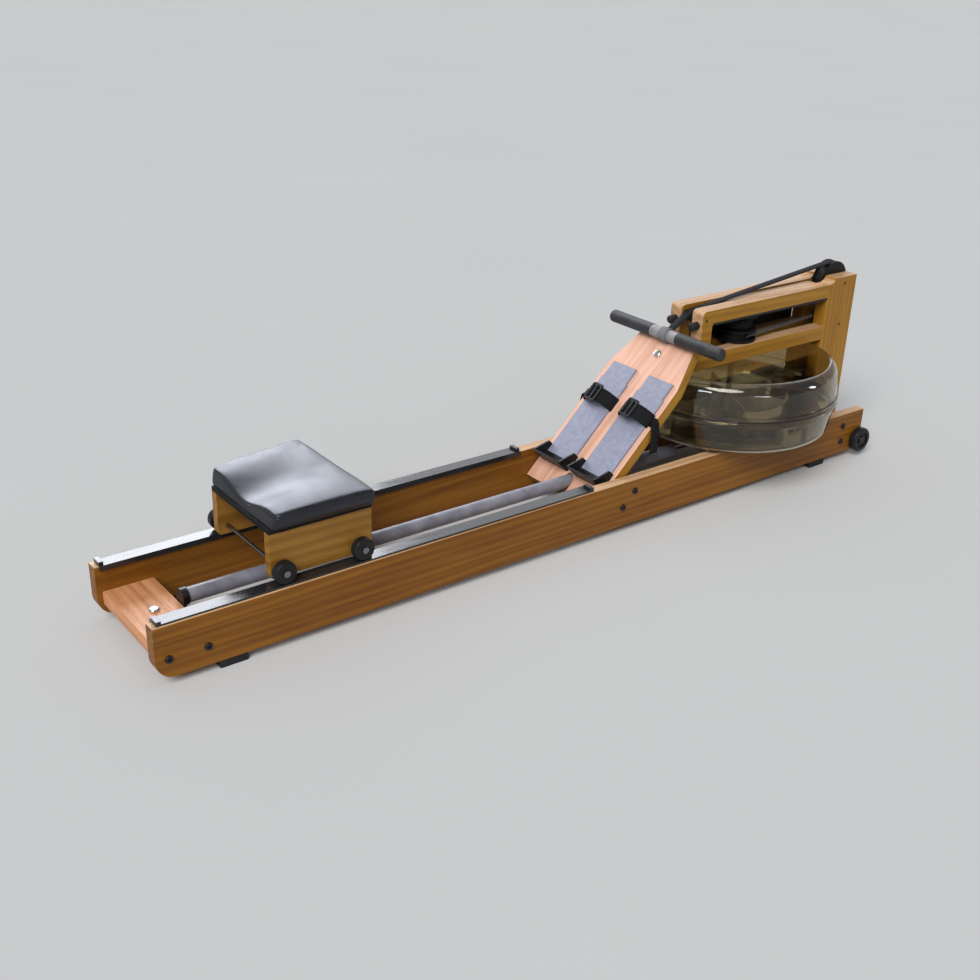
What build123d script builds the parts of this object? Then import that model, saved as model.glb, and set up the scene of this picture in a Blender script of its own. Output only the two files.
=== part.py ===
from build123d import *
import math
import os

# A rowing machine with wooden rails, a rolling seat and a water tank as its brake.
# Sizes are in millimetres. +X runs towards the tank, +Y is the left of a rower who
# faces the tank, and +Z is up. The origin lies on the floor under the middle.

# Fits
FIT = 0.1                    # radial room of a fixed pin or screw in its hole
RUN = 0.05                   # radial room of a turning bore on its pin
GAP = 0.3                    # room between faces that move past each other
EDGE_ROUND = 2.5             # rounding of the long wooden edges

# Rails, feet and seat tracks
RAIL_LENGTH = 2070.0
RAIL_HEIGHT = 114.0
RAIL_THICKNESS = 30.0
RAIL_GAP = 253.0
RAIL_REAR_RADIUS = 42.0
RAIL_FRONT_RADIUS = 30.0
FOOT_HEIGHT = 18.0
FOOT_LENGTH = 60.0
FOOT_WIDTH = 26.0
REAR_FOOT_SETBACK = 160.0
FRONT_FOOT_SETBACK = 170.0
TRACK_REAR_MARGIN = 10.0
TRACK_FRONT_MARGIN = 93.0    # from the front end of the track to the footboard line
TRACK_THICKNESS = 4.0
TRACK_OUTER_MARGIN = 4.0
TRACK_LIP_THICKNESS = 6.0
TRACK_LIP_DEPTH = 8.0
TRACK_STOP_LENGTH = 10.0
TRACK_STOP_HEIGHT = 6.0

# Boards between the rails and the bolts that hold them
SPACER_THICKNESS = 30.0
REAR_SPACER_SETBACK = 12.0
REAR_SPACER_WIDTH = 110.0
REAR_SPACER_LIFT = 27.0      # underside above the rails' underside
REAR_BOLT_SPREAD = 80.0
MID_SPACER_THICKNESS = 40.0
MID_SPACER_WIDTH = 84.0
MID_SPACER_DROP = 20.0       # centre, down the slope from the footboard line
MID_BOLT_SPREAD = 50.0
FRONT_SPACER_HEIGHT = 72.0
FRONT_SPACER_LIFT = 22.0
FRONT_BOLT_SPREAD = 45.0
BOLT_DIAMETER = 8.0
BOLT_HEAD_DIAMETER = 16.0
BOLT_HEAD_HEIGHT = 4.0
BOLT_LENGTH = 75.0
BOLT_END_ROOM = 4.0
BOLT_SOCKET_WIDTH = 6.0
BOLT_SOCKET_DEPTH = 2.5
DOME_HEAD_DIAMETER = 22.0
DOME_HEAD_HEIGHT = 6.0
DOME_SCREW_LENGTH = 50.0
CAP_SCREW_LENGTH = 22.0

# Transport wheels
WHEEL_DIAMETER = 68.0
WHEEL_WIDTH = 22.0
WHEEL_SETBACK = 14.0
WHEEL_HEIGHT = 48.0
WHEEL_BOLT_DIAMETER = 10.0
WHEEL_BOLT_HEAD_DIAMETER = 24.0
WHEEL_BOLT_HEAD_HEIGHT = 4.0
WHEEL_RECESS = 4.0
WHEEL_RECESS_DIAMETER = 44.0

# Tank
TANK_SETBACK = 387.0         # axis, back from the front end of the rails
TANK_RADIUS = 280.0
TANK_HEIGHT = 180.0
TANK_WALL = 4.0
TANK_BASE_RADIUS = 264.0
TANK_TOP_RADIUS = 266.0
TANK_BASE_ROUND = 18.0
TANK_TOP_ROUND = 28.0
TANK_SEAM = 91.0             # height of the seam above the tank's underside
TANK_RIM_DEPTH = 3.0
TANK_RIM_HEIGHT = 9.0
SEAL_THICKNESS = 2.0
TANK_LUG_HEIGHT = 8.0
TANK_LUG_LENGTH = 50.0
TANK_LUG_WIDTH = 24.0
TANK_LUG_SPREAD = 260.0
NECK_HEIGHT = 22.0
NECK_SIDE_ROOM = 1.0
WATER_DEPTH = 68.0

# Paddle, shaft and drum
SHAFT_DIAMETER = 16.0
BEARING_DIAMETER = 28.0
BEARING_HEIGHT = 10.0
PADDLE_RADIUS = 150.0
PADDLE_SWEEP_ROOM = 6.0
PADDLE_BLADE_HEIGHT = 50.0
PADDLE_BLADE_THICKNESS = 3.0
PADDLE_BLADES = 6
PADDLE_LIFT = 18.0
PADDLE_HUB_DIAMETER = 52.0
DRUM_STRAP_CORE = 28.0
DRUM_FLANGE_RISE = 10.0      # flange beyond the outermost turn of the strap
DRUM_CORD_CORE = 36.0
DRUM_CORD_ZONE = 22.0
DRUM_FLANGE = 3.0
DRUM_END_ROOM = 3.5
BRIDGE_THICKNESS = 6.0
BRIDGE_SIDE = 3.0            # side of the bridge plate that closes the left window
BRIDGE_SIDE_LAP = 8.0        # that side below the top of the lower arm

# Posts and arms
TANK_TO_POST = 9.0
POST_WIDTH = 114.0
POST_FOOT_LIFT = 12.0
POST_SHOULDER = 26.0         # run of the hollow that rises from the arm to the post's top
POST_RISE = 15.0             # post above the top arm
SIDE_THICKNESS = 36.0
SIDE_GAP = 38.0
LOWER_ARM_HEIGHT = 37.0
TOP_ARM_HEIGHT = 34.0
WINDOW_HEIGHT = 79.0
ARM_REACH = 188.0            # rear end of the top arm, back from the tank's axis
ARM_LEG_WIDTH = 36.0
ARM_OUTER_ROUND = 12.0
ARM_INNER_ROUND = 10.0
HEAD_BLOCK_LENGTH = 80.0
DECK_THICKNESS = 18.0
DECK_DROP = 4.0              # deck's top below the tops of the arms
DECK_STRAP_ROOM = 3.0        # height of the strap over the deck's rear end
REST_DIAMETER = 20.0
REST_LENGTH = 24.0
REST_DROP = 4.0              # rest's axis below the top arm's underside

# Footboard and what is on it, measured up the slope from the line at the rails' top
SLOPE = 45.0
FOOTBOARD_TO_TANK = 510.0
FOOTBOARD_BELOW = 94.0
FOOTBOARD_ABOVE = 382.0
FOOTBOARD_SHOULDER = 258.0
FOOTBOARD_TOP_WIDTH = 180.0
FOOTBOARD_SIDE_ROOM = 2.5
FOOTBOARD_THICKNESS = 26.0
FOOTBOARD_CORNER = 18.0
FOOT_SCREW_PLACE = 328.0
PLATE_BELOW = 27.0
PLATE_LENGTH = 295.0
PLATE_WIDTH = 90.0
PLATE_SPACING = 128.0
PLATE_THICKNESS = 6.0
PLATE_TAB_LENGTH = 46.0
PLATE_TAB_WIDTH = 82.0
PLATE_CHAMFER = 1.0
CUP_BACK = 14.0              # from the lower end of the plate to the back of the cup
CUP_LENGTH = 46.0
CUP_WALL = 5.0
CUP_HEIGHT = 38.0
CUP_TOE_HEIGHT = 12.0
CUP_CORNER = 8.0
CUP_FLOOR_LENGTH = 24.0
CUP_FLOOR_THICKNESS = 3.0
STRAP_PLACE = 162.0
FOOT_STRAP_WIDTH = 38.0
FOOT_STRAP_RISE = 38.0
FOOT_STRAP_THICKNESS = 2.5
FOOT_STRAP_SIDE_ROOM = 5.0
BUCKLE_LENGTH = 34.0
BUCKLE_SIDE = 5.0
BUCKLE_THICKNESS = 4.0
BUCKLE_BAR = 5.0

# Drive strap, pulleys and recoil
STRAP_WIDTH = 24.0
STRAP_THICKNESS = 2.0
STRAP_TURNS = 5
STRAP_PITCH = 2.5            # from one turn on the drum to the next
STRAP_TWIST_ROOM = 10.0
TWIST_STEPS = 3
GAP_POINTS = 48              # points of each turn at which the gap is measured
ROLLER_RADIUS = 12.0
ROLLER_WIDTH = 34.0
ROLLER_SETBACK = 14.0
ROLLER_DROP = 24.0
AXLE_DIAMETER = 8.0
PULLEY_RADIUS = 48.0
PULLEY_FLANGE = 3.0
PULLEY_RIM_WIDTH = 32.0
PULLEY_HUB_DIAMETER = 24.0
PULLEY_SETBACK = 47.0
PULLEY_DROP = 19.0
CORD_DIAMETER = 8.0
CORD_TURN_RADIUS = 22.0
CORD_GROOVE_ROOM = 0.5
RECOIL_RIM = 5.0
RECOIL_GROOVE_WIDTH = 17.0
RECOIL_PULLEY_WIDTH = 26.0
CORD_HOLE_DIAMETER = 18.0
TUBE_DIAMETER = 32.0
TUBE_WALL = 3.0
TUBE_HEIGHT = 69.0           # axis above the rails' underside
TUBE_TO_TANK = 193.0         # front end, back from the tank's axis
TUBE_NOTCH_ROOM = 1.5
BRACKET_PLATE = 6.0
BRACKET_WALL = 2.5
BRACKET_SOCKET = 8.0

# Handle
HANDLE_LENGTH = 380.0
HANDLE_CORE_DIAMETER = 24.0
HANDLE_CENTRE_DIAMETER = 30.0
HANDLE_CENTRE_LENGTH = 88.0
GRIP_DIAMETER = 32.0
GRIP_END_WALL = 5.0
GRIP_END_ROUND = 6.0
LOOP_WIDTH = 26.0
LOOP_THICKNESS = 3.0
HANDLE_TO_EDGE = 6.0         # down the slope from the footboard's upper end

# Seat
SEAT_PLACE = 377.0           # centre at rest, from the rear end of the rails
SEAT_WHEEL_DIAMETER = 48.0
SEAT_WHEEL_WIDTH = 20.0
SEAT_WHEEL_ROUND = 4.0
SEAT_WHEEL_SPREAD = 179.0
SEAT_AXLE_SETBACK = 21.0     # rear axle, forward of the cheeks' rear ends
SEAT_WHEEL_BOSS = 8.0
SEAT_WHEEL_BOSS_DIAMETER = 18.0
SEAT_AXLE_DIAMETER = 8.0
SEAT_AXLE_HEAD_DIAMETER = 14.0
SEAT_AXLE_HEAD = 2.5
CHEEK_LENGTH = 233.0
CHEEK_THICKNESS = 20.0
CHEEK_SPREAD = 248.0         # over the cheeks' outer faces
CHEEK_TRACK_ROOM = 5.0
CHEEK_TOP = 238.0
SEAT_BASE_THICKNESS = 10.0
SEAT_BRACE_THICKNESS = 15.0
SEAT_BRACE_HEIGHT = 60.0
SEAT_BRACE_PLACE = 70.0
PAD_LENGTH = 230.0
PAD_WIDTH = 302.0            # at mid-length
PAD_FLARE = 40.0             # front end wider than the rear end
PAD_THICKNESS = 44.0         # at mid-length
PAD_RISE = 10.0              # front end higher than the rear end
PAD_END_DROP = 3.0
PAD_SHOULDER = 5.0           # brow of the side below the crown
PAD_DRAW_IN = 6.0
PAD_CHANNEL_REAR = 18.0
PAD_CHANNEL_FRONT = 4.0

SIDES = (("left", 1), ("right", -1))
slope_angle = math.radians(SLOPE)

# Places along the machine
wheel_overhang = WHEEL_DIAMETER / 2 - WHEEL_SETBACK
rear_x = -(RAIL_LENGTH + wheel_overhang) / 2
front_x = rear_x + RAIL_LENGTH
tank_x = front_x - TANK_SETBACK
footboard_x = tank_x - FOOTBOARD_TO_TANK
post_rear_x = tank_x + TANK_RADIUS + TANK_TO_POST
post_front_x = post_rear_x + POST_WIDTH
front_spacer_x = post_rear_x + SPACER_THICKNESS / 2
front_spacer_face = post_rear_x + SPACER_THICKNESS
rear_spacer_x = rear_x + REAR_SPACER_SETBACK + REAR_SPACER_WIDTH / 2
rear_spacer_face = rear_spacer_x + REAR_SPACER_WIDTH / 2
arm_rear_x = tank_x - ARM_REACH
pulley_x = post_front_x - PULLEY_SETBACK
tube_rear_x = rear_spacer_face + BRACKET_PLATE
tube_front_x = tank_x - TUBE_TO_TANK
track_rear_x = rear_x + TRACK_REAR_MARGIN
track_length = footboard_x - TRACK_FRONT_MARGIN - track_rear_x
seat_x = rear_x + SEAT_PLACE

# Places across the machine
rail_inner = RAIL_GAP / 2
rail_outer = rail_inner + RAIL_THICKNESS
rail_middle = rail_inner + RAIL_THICKNESS / 2
side_inner = SIDE_GAP / 2
side_outer = side_inner + SIDE_THICKNESS
side_middle = side_inner + SIDE_THICKNESS / 2
side_width = 2 * side_outer

# Heights
rail_bottom = FOOT_HEIGHT
rail_top = rail_bottom + RAIL_HEIGHT
track_top = rail_top + TRACK_THICKNESS
rear_spacer_bottom = rail_bottom + REAR_SPACER_LIFT
rear_spacer_top = rear_spacer_bottom + SPACER_THICKNESS
front_spacer_bottom = rail_bottom + FRONT_SPACER_LIFT
front_spacer_top = front_spacer_bottom + FRONT_SPACER_HEIGHT
tube_z = rail_bottom + TUBE_HEIGHT
tank_bottom = rail_top + TANK_LUG_HEIGHT
tank_floor = tank_bottom + TANK_WALL
tank_top = tank_bottom + TANK_HEIGHT
seam_low = tank_bottom + TANK_SEAM - SEAL_THICKNESS / 2
seam_high = seam_low + SEAL_THICKNESS
lower_arm_top = tank_top + LOWER_ARM_HEIGHT
window_top = lower_arm_top + WINDOW_HEIGHT
top_arm_top = window_top + TOP_ARM_HEIGHT
post_top = top_arm_top + POST_RISE
post_foot = rail_bottom + POST_FOOT_LIFT
bridge_bottom = window_top - BRIDGE_THICKNESS
drum_bottom = lower_arm_top + DRUM_END_ROOM
drum_top = bridge_bottom - DRUM_END_ROOM
cord_z = drum_bottom + DRUM_FLANGE + DRUM_CORD_ZONE / 2
strap_zone_bottom = drum_bottom + 2 * DRUM_FLANGE + DRUM_CORD_ZONE
strap_zone_top = drum_top - DRUM_FLANGE
strap_zone_middle = (strap_zone_bottom + strap_zone_top) / 2
pulley_z = post_top - PULLEY_DROP
roller_x = arm_rear_x + ROLLER_SETBACK
roller_z = top_arm_top - ROLLER_DROP
winding_inner = DRUM_STRAP_CORE + GAP + STRAP_THICKNESS / 2
winding_outer = winding_inner + STRAP_TURNS * STRAP_PITCH
drum_radius = winding_outer + STRAP_THICKNESS / 2 + DRUM_FLANGE_RISE
recoil_upper_z = cord_z - CORD_TURN_RADIUS
recoil_lower_z = tube_z + CORD_TURN_RADIUS

# The footboard's face: x up the slope, y across, z out towards the rower
slope_x = Vector(math.cos(slope_angle), 0, math.sin(slope_angle))
slope_out = Vector(-math.sin(slope_angle), 0, math.cos(slope_angle))
slope_origin = Vector(footboard_x, 0, rail_top)
slope = Plane(origin=slope_origin, x_dir=slope_x, z_dir=slope_out)


def on_slope(up, out):
    """The point of the middle plane this far up the slope and out from its face."""
    return slope_origin + slope_x * up + slope_out * out


def footboard_back(z):
    """X of the footboard's rear face at this height."""
    front_face = footboard_x + (z - rail_top) / math.tan(slope_angle)
    return front_face + FOOTBOARD_THICKNESS / math.sin(slope_angle)


def cross_plane(y):
    """The plane across the machine at this y, with +X and +Z as its own axes."""
    return Plane.XZ.offset(-y)


def save(builder, name):
    """Name a finished piece and write it."""
    builder.part.label = name
    export_step(builder.part, f"parts/{name}.step")


rear_bolt_z = rear_spacer_bottom + SPACER_THICKNESS / 2
rear_bolts = [(rear_spacer_x + d * REAR_BOLT_SPREAD / 2, rear_bolt_z) for d in (-1, 1)]
mid_out = -FOOTBOARD_THICKNESS - MID_SPACER_THICKNESS / 2
mid_points = [on_slope(d * MID_BOLT_SPREAD / 2 - MID_SPACER_DROP, mid_out) for d in (-1, 1)]
mid_bolts = [(point.X, point.Z) for point in mid_points]
front_bolt_z = front_spacer_bottom + FRONT_SPACER_HEIGHT / 2
front_bolts = [(front_spacer_x, front_bolt_z + d * FRONT_BOLT_SPREAD / 2) for d in (-1, 1)]
all_bolts = rear_bolts + mid_bolts + front_bolts
wheel_axis = (front_x - WHEEL_SETBACK, WHEEL_HEIGHT)


def drill_bolts(points):
    """Cut the bolt holes from both sides into the part that is open."""
    for _, sign in SIDES:
        with BuildSketch(cross_plane(sign * rail_outer)) as holes:
            with Locations(*points):
                Circle(BOLT_DIAMETER / 2 + FIT)
        extrude(holes.sketch, amount=sign * (BOLT_LENGTH + BOLT_END_ROOM), mode=Mode.SUBTRACT)


def drill_across(points, diameter):
    """Cut holes right across the machine through the part that is open."""
    with BuildSketch(cross_plane(0)) as holes:
        with Locations(*points):
            Circle(diameter / 2)
    extrude(holes.sketch, amount=RAIL_GAP, both=True, mode=Mode.SUBTRACT)


def bore_lengthwise(diameter):
    """Cut a hole along the recoil tube's axis through the part that is open."""
    with BuildSketch(Plane.YZ.offset(rear_x)) as hole:
        with Locations((0, tube_z)):
            Circle(diameter / 2)
    extrude(hole.sketch, amount=RAIL_LENGTH, mode=Mode.SUBTRACT)


def side_outline(points, sign, inner, thickness):
    """Add a flat board with this outline, on one side of the middle plane."""
    with BuildSketch(cross_plane(sign * inner)) as outline:
        with BuildLine():
            Polyline(*points, close=True)
        make_face()
    extrude(outline.sketch, amount=-sign * thickness)


os.makedirs("parts", exist_ok=True)

# Rails
for side, sign in SIDES:
    with BuildPart() as rail:
        corners = [(rear_x, rail_bottom), (front_x, rail_bottom), (front_x, rail_top), (rear_x, rail_top)]
        side_outline(corners, sign, rail_inner, RAIL_THICKNESS)
        lower_corners = rail.edges().filter_by(Axis.Y).group_by(Axis.Z)[0].sort_by(Axis.X)
        fillet(lower_corners[0], radius=RAIL_REAR_RADIUS)
        lower_front = rail.edges().filter_by(Axis.Y).group_by(Axis.X)[-1].sort_by(Axis.Z)[0]
        fillet(lower_front, radius=RAIL_FRONT_RADIUS)
        fillet(rail.edges().filter_by(Axis.X).group_by(Axis.Z)[-1], radius=EDGE_ROUND)
        drill_bolts(all_bolts)
        drill_across([wheel_axis], WHEEL_BOLT_DIAMETER + 2 * FIT)
    save(rail, f"rail_{side}")

# Seat tracks: a strip on the rail, a lip down its inner face and a stop at each end
track_width = RAIL_THICKNESS - TRACK_OUTER_MARGIN + TRACK_LIP_THICKNESS
track_y = rail_inner - TRACK_LIP_THICKNESS + track_width / 2
stop_width = track_width - TRACK_LIP_THICKNESS
stop_y = rail_inner + stop_width / 2
for side, sign in SIDES:
    with BuildPart() as track:
        with BuildSketch(Plane.YZ.offset(track_rear_x)):
            with Locations((sign * track_y, rail_top + TRACK_THICKNESS / 2)):
                Rectangle(track_width, TRACK_THICKNESS)
            with Locations((sign * (rail_inner - TRACK_LIP_THICKNESS / 2), rail_top - TRACK_LIP_DEPTH / 2)):
                Rectangle(TRACK_LIP_THICKNESS, TRACK_LIP_DEPTH)
        extrude(amount=track_length)
        stop_reach = track_length / 2 - TRACK_STOP_LENGTH / 2
        for end in (-1, 1):
            stop_x = track_rear_x + track_length / 2 + end * stop_reach
            with Locations((stop_x, sign * stop_y, track_top + TRACK_STOP_HEIGHT / 2)):
                Box(TRACK_STOP_LENGTH, stop_width, TRACK_STOP_HEIGHT)
    save(track, f"track_{side}")

# Boards between the rails
with BuildPart() as rear_spacer:
    with Locations((rear_spacer_x, 0, rear_bolt_z)):
        Box(REAR_SPACER_WIDTH, RAIL_GAP, SPACER_THICKNESS)
    fillet(rear_spacer.edges().filter_by(Axis.Y), radius=EDGE_ROUND)
    drill_bolts(rear_bolts)
    with BuildSketch(Plane.XY.offset(rear_spacer_top)):
        with Locations((rear_spacer_x, 0)):
            Circle(BOLT_DIAMETER / 2 + FIT)
    extrude(amount=-CAP_SCREW_LENGTH - BOLT_END_ROOM, mode=Mode.SUBTRACT)
save(rear_spacer, "rear_spacer")

with BuildPart() as mid_spacer:
    with BuildSketch(slope.offset(-FOOTBOARD_THICKNESS)):
        with Locations((-MID_SPACER_DROP, 0)):
            Rectangle(MID_SPACER_WIDTH, RAIL_GAP)
    extrude(amount=-MID_SPACER_THICKNESS)
    drill_bolts(mid_bolts)
    bore_lengthwise(TUBE_DIAMETER + 2 * FIT)
save(mid_spacer, "mid_spacer")

with BuildPart() as front_spacer:
    with Locations((front_spacer_x, 0, front_bolt_z)):
        Box(SPACER_THICKNESS, RAIL_GAP, FRONT_SPACER_HEIGHT)
    drill_bolts(front_bolts)
    bore_lengthwise(CORD_HOLE_DIAMETER)
save(front_spacer, "front_spacer")

# Bolts through the rails
with BuildPart() as rail_bolts:
    for _, sign in SIDES:
        with BuildSketch(cross_plane(sign * rail_outer)):
            with Locations(*all_bolts):
                Circle(BOLT_DIAMETER / 2)
        extrude(amount=sign * BOLT_LENGTH)
        with BuildSketch(cross_plane(sign * rail_outer)):
            with Locations(*all_bolts):
                Circle(BOLT_HEAD_DIAMETER / 2)
        extrude(amount=-sign * BOLT_HEAD_HEIGHT)
    head_ends = rail_bolts.faces().filter_by(Axis.Y).group_by(Axis.Y)
    fillet(head_ends[0].edges() + head_ends[-1].edges(), radius=BOLT_HEAD_HEIGHT / 2)
    for _, sign in SIDES:
        with BuildSketch(cross_plane(sign * (rail_outer + BOLT_HEAD_HEIGHT))):
            with Locations(*all_bolts):
                RegularPolygon(BOLT_SOCKET_WIDTH / 2, side_count=6, major_radius=False)
        extrude(amount=sign * BOLT_SOCKET_DEPTH, mode=Mode.SUBTRACT)
save(rail_bolts, "rail_bolts")

# Dome screws in the footboard and in the rear spacer
cap_place = Plane(origin=(rear_spacer_x, 0, rear_spacer_top))
foot_screw_place = Plane(origin=on_slope(FOOT_SCREW_PLACE, 0), x_dir=slope_x, z_dir=slope_out)
with BuildPart() as dome_screws:
    for place, length in ((cap_place, CAP_SCREW_LENGTH), (foot_screw_place, DOME_SCREW_LENGTH)):
        with BuildSketch(place):
            Circle(BOLT_DIAMETER / 2)
        extrude(amount=-length)
        with BuildSketch(place):
            Circle(DOME_HEAD_DIAMETER / 2)
        extrude(amount=DOME_HEAD_HEIGHT)
        head_tip = place.origin + place.z_dir * DOME_HEAD_HEIGHT
        head_face = dome_screws.faces().sort_by_distance(head_tip)[0]
        fillet(head_face.edges(), radius=DOME_HEAD_HEIGHT * 0.8)
save(dome_screws, "dome_screws")

# Feet
foot_places = [rear_x + REAR_FOOT_SETBACK, front_x - FRONT_FOOT_SETBACK]
with BuildPart() as rubber_feet:
    for foot_x in foot_places:
        with Locations((foot_x, rail_middle, FOOT_HEIGHT / 2), (foot_x, -rail_middle, FOOT_HEIGHT / 2)):
            Box(FOOT_LENGTH, FOOT_WIDTH, FOOT_HEIGHT)
    fillet(rubber_feet.edges().filter_by(Axis.Z), radius=EDGE_ROUND)
save(rubber_feet, "rubber_feet")

# Transport wheels and their bolts
wheel_inner = rail_outer + GAP
wheel_outer = wheel_inner + WHEEL_WIDTH
for side, sign in SIDES:
    with BuildPart() as transport_wheel:
        with BuildSketch(cross_plane(sign * wheel_inner)):
            with Locations(wheel_axis):
                Circle(WHEEL_DIAMETER / 2)
        extrude(amount=-sign * WHEEL_WIDTH)
        fillet(transport_wheel.edges().filter_by(GeomType.CIRCLE), radius=WHEEL_WIDTH / 4)
        with BuildSketch(cross_plane(sign * wheel_outer)):
            with Locations(wheel_axis):
                Circle(WHEEL_RECESS_DIAMETER / 2)
        extrude(amount=sign * WHEEL_RECESS, mode=Mode.SUBTRACT)
        with BuildSketch(cross_plane(sign * wheel_inner)):
            with Locations(wheel_axis):
                Circle(WHEEL_BOLT_DIAMETER / 2 + RUN)
        extrude(amount=-sign * WHEEL_WIDTH, mode=Mode.SUBTRACT)
    save(transport_wheel, f"transport_wheel_{side}")

wheel_head_face = wheel_outer - WHEEL_RECESS + GAP
with BuildPart() as wheel_bolts:
    for _, sign in SIDES:
        with BuildSketch(cross_plane(sign * rail_inner)):
            with Locations(wheel_axis):
                Circle(WHEEL_BOLT_DIAMETER / 2)
        extrude(amount=-sign * (wheel_head_face - rail_inner))
        with BuildSketch(cross_plane(sign * wheel_head_face)):
            with Locations(wheel_axis):
                Circle(WHEEL_BOLT_HEAD_DIAMETER / 2)
        extrude(amount=-sign * WHEEL_BOLT_HEAD_HEIGHT)
    head_ends = wheel_bolts.faces().filter_by(Axis.Y).group_by(Axis.Y)
    fillet(head_ends[0].edges() + head_ends[-1].edges(), radius=WHEEL_BOLT_HEAD_HEIGHT / 2)
save(wheel_bolts, "wheel_bolts")

# Posts, standing on the front spacer and reaching down in front of it
pulley_axis = (pulley_x, pulley_z)
roller_axis = (roller_x, roller_z)
recoil_axes = [(pulley_x, recoil_upper_z), (pulley_x, recoil_lower_z)]
for side, sign in SIDES:
    with BuildPart() as post:
        with BuildSketch(cross_plane(sign * side_inner)):
            with BuildLine():
                shoulder = (post_rear_x + POST_SHOULDER, post_top)
                hollow = (post_rear_x + POST_SHOULDER * 0.7, top_arm_top + POST_RISE * 0.3)
                Polyline(
                    shoulder,
                    (post_front_x, post_top),
                    (post_front_x, post_foot),
                    (front_spacer_face, post_foot),
                    (front_spacer_face, front_spacer_top),
                    (post_rear_x, front_spacer_top),
                    (post_rear_x, top_arm_top),
                )
                ThreePointArc((post_rear_x, top_arm_top), hollow, shoulder)
            make_face()
        extrude(amount=-sign * SIDE_THICKNESS)
        outer_face = post.faces().filter_by(Axis.Y).sort_by(Axis.Y)[-1 if sign > 0 else 0]
        fillet(outer_face.edges().filter_by(Axis.Z).sort_by(Axis.X)[-1], radius=EDGE_ROUND)
        drill_across([pulley_axis] + recoil_axes, AXLE_DIAMETER + 2 * FIT)
    save(post, f"post_{side}")

# Top arms, each with the leg that stands on the lower arm
arm_points = [
    (arm_rear_x, lower_arm_top),
    (arm_rear_x, top_arm_top),
    (post_rear_x, top_arm_top),
    (post_rear_x, window_top),
    (arm_rear_x + ARM_LEG_WIDTH, window_top),
    (arm_rear_x + ARM_LEG_WIDTH, lower_arm_top),
]
for side, sign in SIDES:
    with BuildPart() as top_arm:
        side_outline(arm_points, sign, side_inner, SIDE_THICKNESS)
        corner_edges = top_arm.edges().filter_by(Axis.Y)
        fillet(corner_edges.sort_by_distance((arm_rear_x, 0, top_arm_top))[0], radius=ARM_OUTER_ROUND)
        inner_corner = (arm_rear_x + ARM_LEG_WIDTH, 0, window_top)
        fillet(top_arm.edges().filter_by(Axis.Y).sort_by_distance(inner_corner)[0], radius=ARM_INNER_ROUND)
        drill_across([roller_axis], AXLE_DIAMETER + 2 * FIT)
    save(top_arm, f"top_arm_{side}")

# Deck between the top arms, from where the strap has risen clear of it to the posts
strap_slope = (pulley_z + PULLEY_RADIUS - roller_z - ROLLER_RADIUS) / (pulley_x - roller_x)
deck_top = top_arm_top - DECK_DROP
deck_rear_x = roller_x + (deck_top + DECK_STRAP_ROOM - roller_z - ROLLER_RADIUS) / strap_slope
with BuildPart() as top_deck:
    with BuildSketch(Plane.XY.offset(deck_top)):
        with Locations((deck_rear_x, -side_inner)):
            Rectangle(post_rear_x - deck_rear_x, SIDE_GAP, align=Align.MIN)
    extrude(amount=-DECK_THICKNESS)
save(top_deck, "top_deck")

# Lower arms, cut to the slope where they meet the footboard
lower_arm_points = [
    (footboard_back(tank_top), tank_top),
    (post_rear_x, tank_top),
    (post_rear_x, lower_arm_top),
    (footboard_back(lower_arm_top), lower_arm_top),
]
for side, sign in SIDES:
    with BuildPart() as lower_arm:
        side_outline(lower_arm_points, sign, side_inner, SIDE_THICKNESS)
    save(lower_arm, f"lower_arm_{side}")

head_block_front = footboard_back(tank_top) + HEAD_BLOCK_LENGTH
with BuildPart() as head_block:
    with BuildSketch(cross_plane(0)):
        with BuildLine():
            Polyline(
                (footboard_back(tank_top), tank_top),
                (head_block_front, tank_top),
                (head_block_front, lower_arm_top),
                (footboard_back(lower_arm_top), lower_arm_top),
                close=True,
            )
        make_face()
    extrude(amount=SIDE_GAP / 2, both=True)
    with BuildSketch(foot_screw_place):
        Circle(BOLT_DIAMETER / 2 + FIT)
    extrude(amount=-DOME_SCREW_LENGTH - BOLT_END_ROOM, mode=Mode.SUBTRACT)
save(head_block, "head_block")

# Footboard, notched at its foot for the recoil tube
board_half = RAIL_GAP / 2 - FOOTBOARD_SIDE_ROOM
with BuildPart() as footboard:
    with BuildSketch(slope):
        with BuildLine():
            Polyline(
                (-FOOTBOARD_BELOW, -board_half),
                (FOOTBOARD_SHOULDER, -board_half),
                (FOOTBOARD_ABOVE, -FOOTBOARD_TOP_WIDTH / 2),
                (FOOTBOARD_ABOVE, FOOTBOARD_TOP_WIDTH / 2),
                (FOOTBOARD_SHOULDER, board_half),
                (-FOOTBOARD_BELOW, board_half),
                close=True,
            )
        make_face()
    extrude(amount=-FOOTBOARD_THICKNESS)
    top_corners = footboard.edges().filter_by(Axis((0, 0, 0), slope_out))
    fillet(top_corners.sort_by(Axis((0, 0, 0), slope_x))[-2:], radius=FOOTBOARD_CORNER)
    notch_diameter = TUBE_DIAMETER + 2 * TUBE_NOTCH_ROOM
    bore_lengthwise(notch_diameter)
    with BuildSketch(Plane.YZ.offset(rear_x)):
        with Locations((0, tube_z - RAIL_HEIGHT / 2)):
            Rectangle(notch_diameter, RAIL_HEIGHT)
    extrude(amount=RAIL_LENGTH, mode=Mode.SUBTRACT)
    with BuildSketch(foot_screw_place):
        Circle(BOLT_DIAMETER / 2 + FIT)
    extrude(amount=-FOOTBOARD_THICKNESS, mode=Mode.SUBTRACT)
save(footboard, "footboard")

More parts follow.
